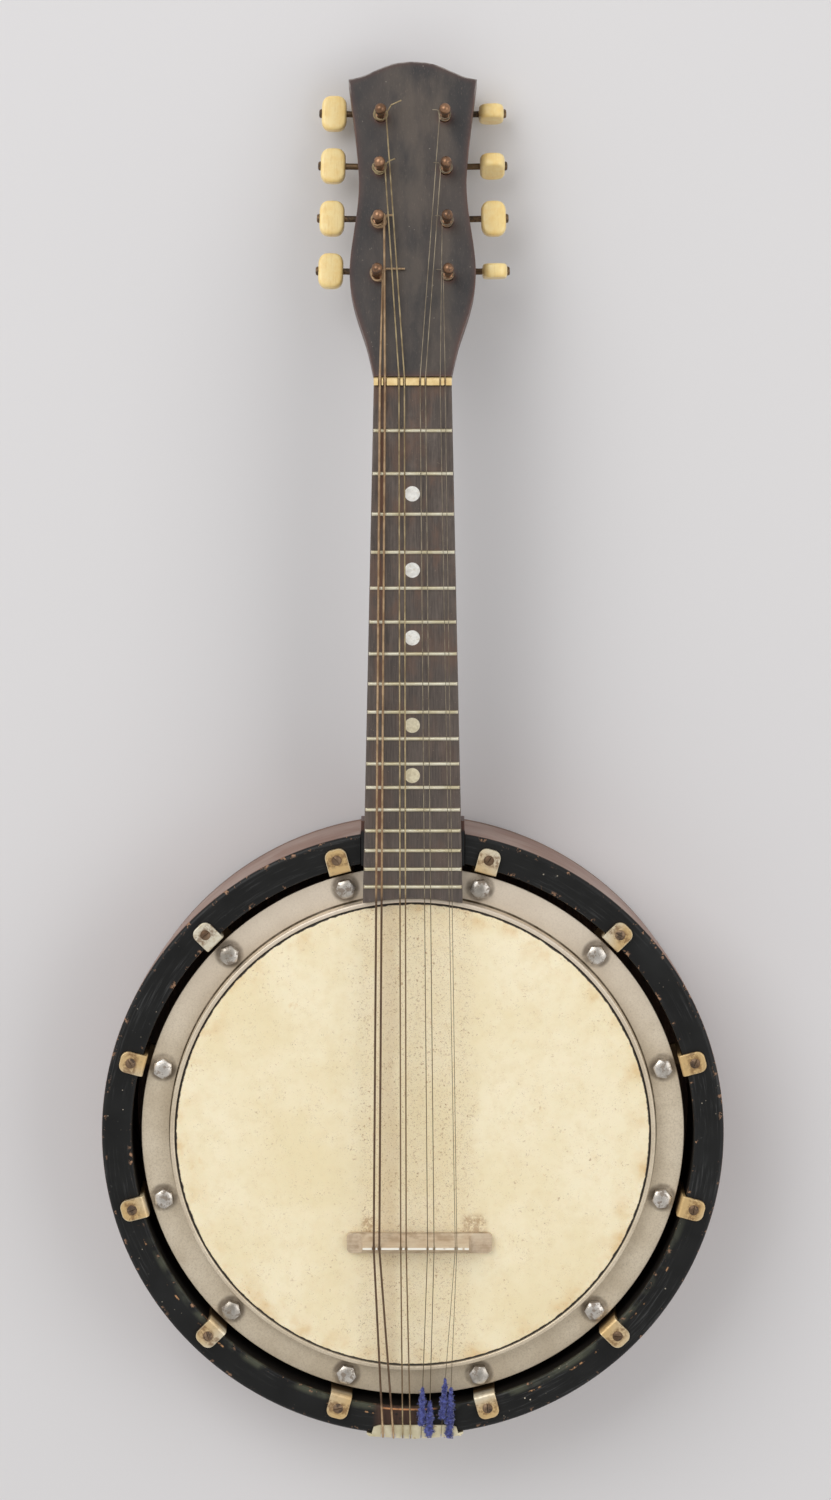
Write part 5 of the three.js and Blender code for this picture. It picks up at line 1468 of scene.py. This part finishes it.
def tail_route(index):
    radius = STRING_DIAMETERS[index] / 2
    hitch = (PIN_RADIUS + CLEARANCE + radius) / cos(pi / 8)
    x = TAIL_CENTRE + TAIL_SHARES[index] * TAIL_WIDTH / 2
    pin_x = x - hitch
    pin_z = TAIL_TOP - PIN_DROPS[index % 2]
    nearest = max(0, abs(pin_x + hitch / 2) - 2 * hitch)
    plate = side_radius(pin_z + PIN_SLOT_GAP) + CLEARANCE + TAIL_THICKNESS
    outside = sqrt(plate ** 2 - nearest ** 2) + CLEARANCE + radius
    in_slot = sqrt((BODY_RADIUS + CLEARANCE + radius) ** 2 - x ** 2)
    over = TAIL_TOP + CLEARANCE + radius
    points = [Vector((pin_x - hitch, -outside, pin_z + HITCH_RISE))]
    points += [Vector((px, -outside, pz)) for px, pz in arc(pin_x, pin_z, hitch, 180, 360, 12)]
    slot_bottom = pin_z + PIN_SLOT_GAP
    points.append(Vector((x, -outside, slot_bottom + CLEARANCE)))
    points.append(Vector((x, -in_slot, slot_bottom + 2 * PIN_SLOT_GAP)))
    points.append(Vector((x, -in_slot, over - radius - CLEARANCE)))
    points.append(Vector((x, -in_slot + 0.08 + radius * 0.2, over - radius * 0.2 - 0.08)))
    points.append(Vector((x, -in_slot + radius + CLEARANCE, over)))
    return points


def winding_route(index):
    side, along_strip = side_and_row(index)
    x = side * (STRIP_OFFSET - sin(STRIP_SPLAY) * along_strip)
    along = STRIP_MIDDLE + cos(STRIP_SPLAY) * along_strip
    diameter = STRING_DIAMETERS[index]
    coil = (POST_WAIST + CLEARANCE + diameter / 2) / cos(pi / 8)
    pitch = diameter + WINDING_GAP
    start = 0 if side < 0 else pi
    top = WINDING_HEIGHTS[index]
    points = []
    for i in range(WINDING_TURNS[index] * COIL_STEPS + 1):
        angle = start - side * 2 * pi * i / COIL_STEPS
        loose = coil * (1 + 0.16 * (1 + sin(1.7 * angle + 2 * index)) * min(1, i / COIL_STEPS))
        points.append(head_point(x + loose * cos(angle), along + loose * sin(angle),
                                 top - pitch * i / COIL_STEPS))
    low = top - pitch * WINDING_TURNS[index]
    rise = END_RISES[index]
    points.append(head_point(x - side * coil * 1.125, along + coil / 2, low))
    points.append(head_point(x - side * coil * 1.5, along + coil, low))
    points.append(head_point(x - side * coil * 2, along + coil + rise / 4, low + rise / 2))
    points.append(head_point(x - side * (2 * coil + END_LENGTHS[index]), along + coil + rise / 2,
                             low + rise))
    return points


def on_bridge(index):
    """Where a string crosses the bridge."""
    return Vector((SADDLE_CENTRE + BRIDGE_SHARES[index] * SADDLE_LENGTH / 2, BRIDGE_AT, BRIDGE_TOP))


def string_route(index):
    nut_x = NUT_SHARES[index] * NUT_WIDTH / 2
    level = BOARD_TOP + STRING_ACTION
    nut_front = Vector((nut_x, NUT_AT, level))
    nut_back = Vector((nut_x, NUT_AT + NUT_THICKNESS + CLEARANCE, level))
    return [*tail_route(index), on_bridge(index), nut_front, nut_back, *winding_route(index)]


def tube(route, radius, sides):
    """A round wire along a route, and how far along it each of its points lies, in metres."""
    tangents = []
    for i in range(len(route)):
        ahead = route[min(i + 1, len(route) - 1)]
        tangents.append((ahead - route[max(i - 1, 0)]).normalized())
    normal = tangents[0].orthogonal().normalized()
    rings, lengths, run = [], [], 0
    circle = arc(0, 0, 1, 0, 360 - 360 / sides, sides - 1)
    for i, point in enumerate(route):
        if i:
            run += (point - route[i - 1]).length
        normal = (normal - tangents[i] * normal.dot(tangents[i])).normalized()
        other = tangents[i].cross(normal)
        rings.append([point + (normal * c + other * s) * radius for c, s in circle])
        lengths += [mm(run)] * sides
    return lofted(rings), lengths


def make_strings():
    low = wire_finish("wound_wire_low", (210, 180, 142), (164, 132, 100), (92, 70, 54), 0.42, 0.28, 101)
    high = wire_finish("wound_wire_high", (206, 186, 144), (152, 132, 100), (124, 100, 74), 0.4, 0.2, 102)
    plain = wire_finish("plain_wire", (160, 148, 126), (118, 106, 88), (112, 98, 76), 0.46, 0, 103)
    for index, diameter in enumerate(STRING_DIAMETERS):
        material = low if index < 2 else high if index < 4 else plain
        shape, lengths = tube(string_route(index), diameter / 2, 10)
        piece = make(f"wire_{index + 1}", shape, material, [f"string_{index + 1}"], sharp=180)
        if len(piece.data.vertices) == len(lengths):
            stored = piece.data.attributes.new("along", "FLOAT", "POINT")
            stored.data.foreach_set("value", lengths)


def make_dots():
    material = pearl_finish()
    for number in DOT_FRETS:
        middle = (fret_at(number) + fret_at(number - 1)) / 2
        disc = turned([(0, -0.6), (DOT_RADIUS, -0.6), (DOT_RADIUS, 0.02), (DOT_RADIUS - 0.15, 0.08),
                       (0, 0.1)], 40)
        make(f"dot_{number}", moved(disc, shift(DOT_CROSS, middle, BOARD_TOP)), material)


# Frayed silk on the high strings, in front of the tail

def silk_wrap(index, low, high, widest, chance):
    """Tangled thread round a string, wider towards the tail, with short loose ends."""
    start = tail_route(index)[-1]
    bridge = on_bridge(index)

    def place(share, reach, angle):
        y = low + (high - low) * share
        middle = start.lerp(bridge, (y - start.y) / (bridge.y - start.y))
        lump = 0.82 + 0.22 * sin(19 * share + 2 * index) + 0.1 * sin(41 * share)
        taper = 0.4 + (widest - 0.4) * lump * min(1, 1.9 * (1 - share)) ** 0.6 * min(1, 0.7 + 4 * share)
        return middle + Vector((taper * reach * cos(angle), 0,
                                taper * reach * max(-0.2, sin(angle)) * 0.75))

    threads = []
    for strand in range(SILK_STRANDS):
        points = []
        angle = strand
        share = chance.random() * 0.1
        while share < 1:
            reach = chance.uniform(0.3, 1.05)
            points.append(place(share, reach, angle) + Vector((0, chance.uniform(-0.7, 0.7), 0)))
            angle += chance.uniform(0.3, 1.2)
            share += chance.uniform(-0.006, 0.019)
        threads.append(tube(points, STRAND_RADIUS, 5)[0])
    for _ in range(SILK_WISPS):
        share = chance.random()
        angle = chance.uniform(-0.4, pi + 0.4)
        root = place(share, 0.8, angle)
        out = Vector((cos(angle), chance.uniform(-0.8, 0.3),
                      sin(angle) * 0.5)) * chance.uniform(0.4, 0.9)
        curl = Vector((chance.uniform(-0.5, 0.5), chance.uniform(-0.6, 0.1), chance.uniform(-0.3, 0.1)))
        points = [root + out * t + curl * t * t for t in (0, 0.35, 0.7, 1)]
        threads.append(tube(points, WISP_RADIUS, 4)[0])
    return joined(*threads)


def make_silk():
    chance = random.Random(SILK_SEED)
    material = thread_finish()
    for index, low, high, widest in SILK_WRAPS:
        make(f"silk_{index + 1}", silk_wrap(index, low, high, widest, chance), material, sharp=180)


def dress_nodes():
    brass = metal_finish("hoop_brass", (176, 148, 104), (126, 100, 66), (84, 66, 46), 0.4, 152, 0.5)
    cream = metal_finish("tail_metal", (246, 236, 206), (222, 210, 172), (156, 132, 90), 0.45, 171, 0.58)
    dress("tone_hoop", brass)
    dress("tailpiece", cream)
    soften(nodes["tailpiece"], 0.35)


make_camera()
make_lights()
make_floor(floor_finish())
make_body()
make_drum()
make_bolts()
make_brackets()
make_neck()
make_fingerboard()
make_nut()
make_bridge()
make_tuners()
make_strings()
make_dots()
make_silk()
dress_nodes()
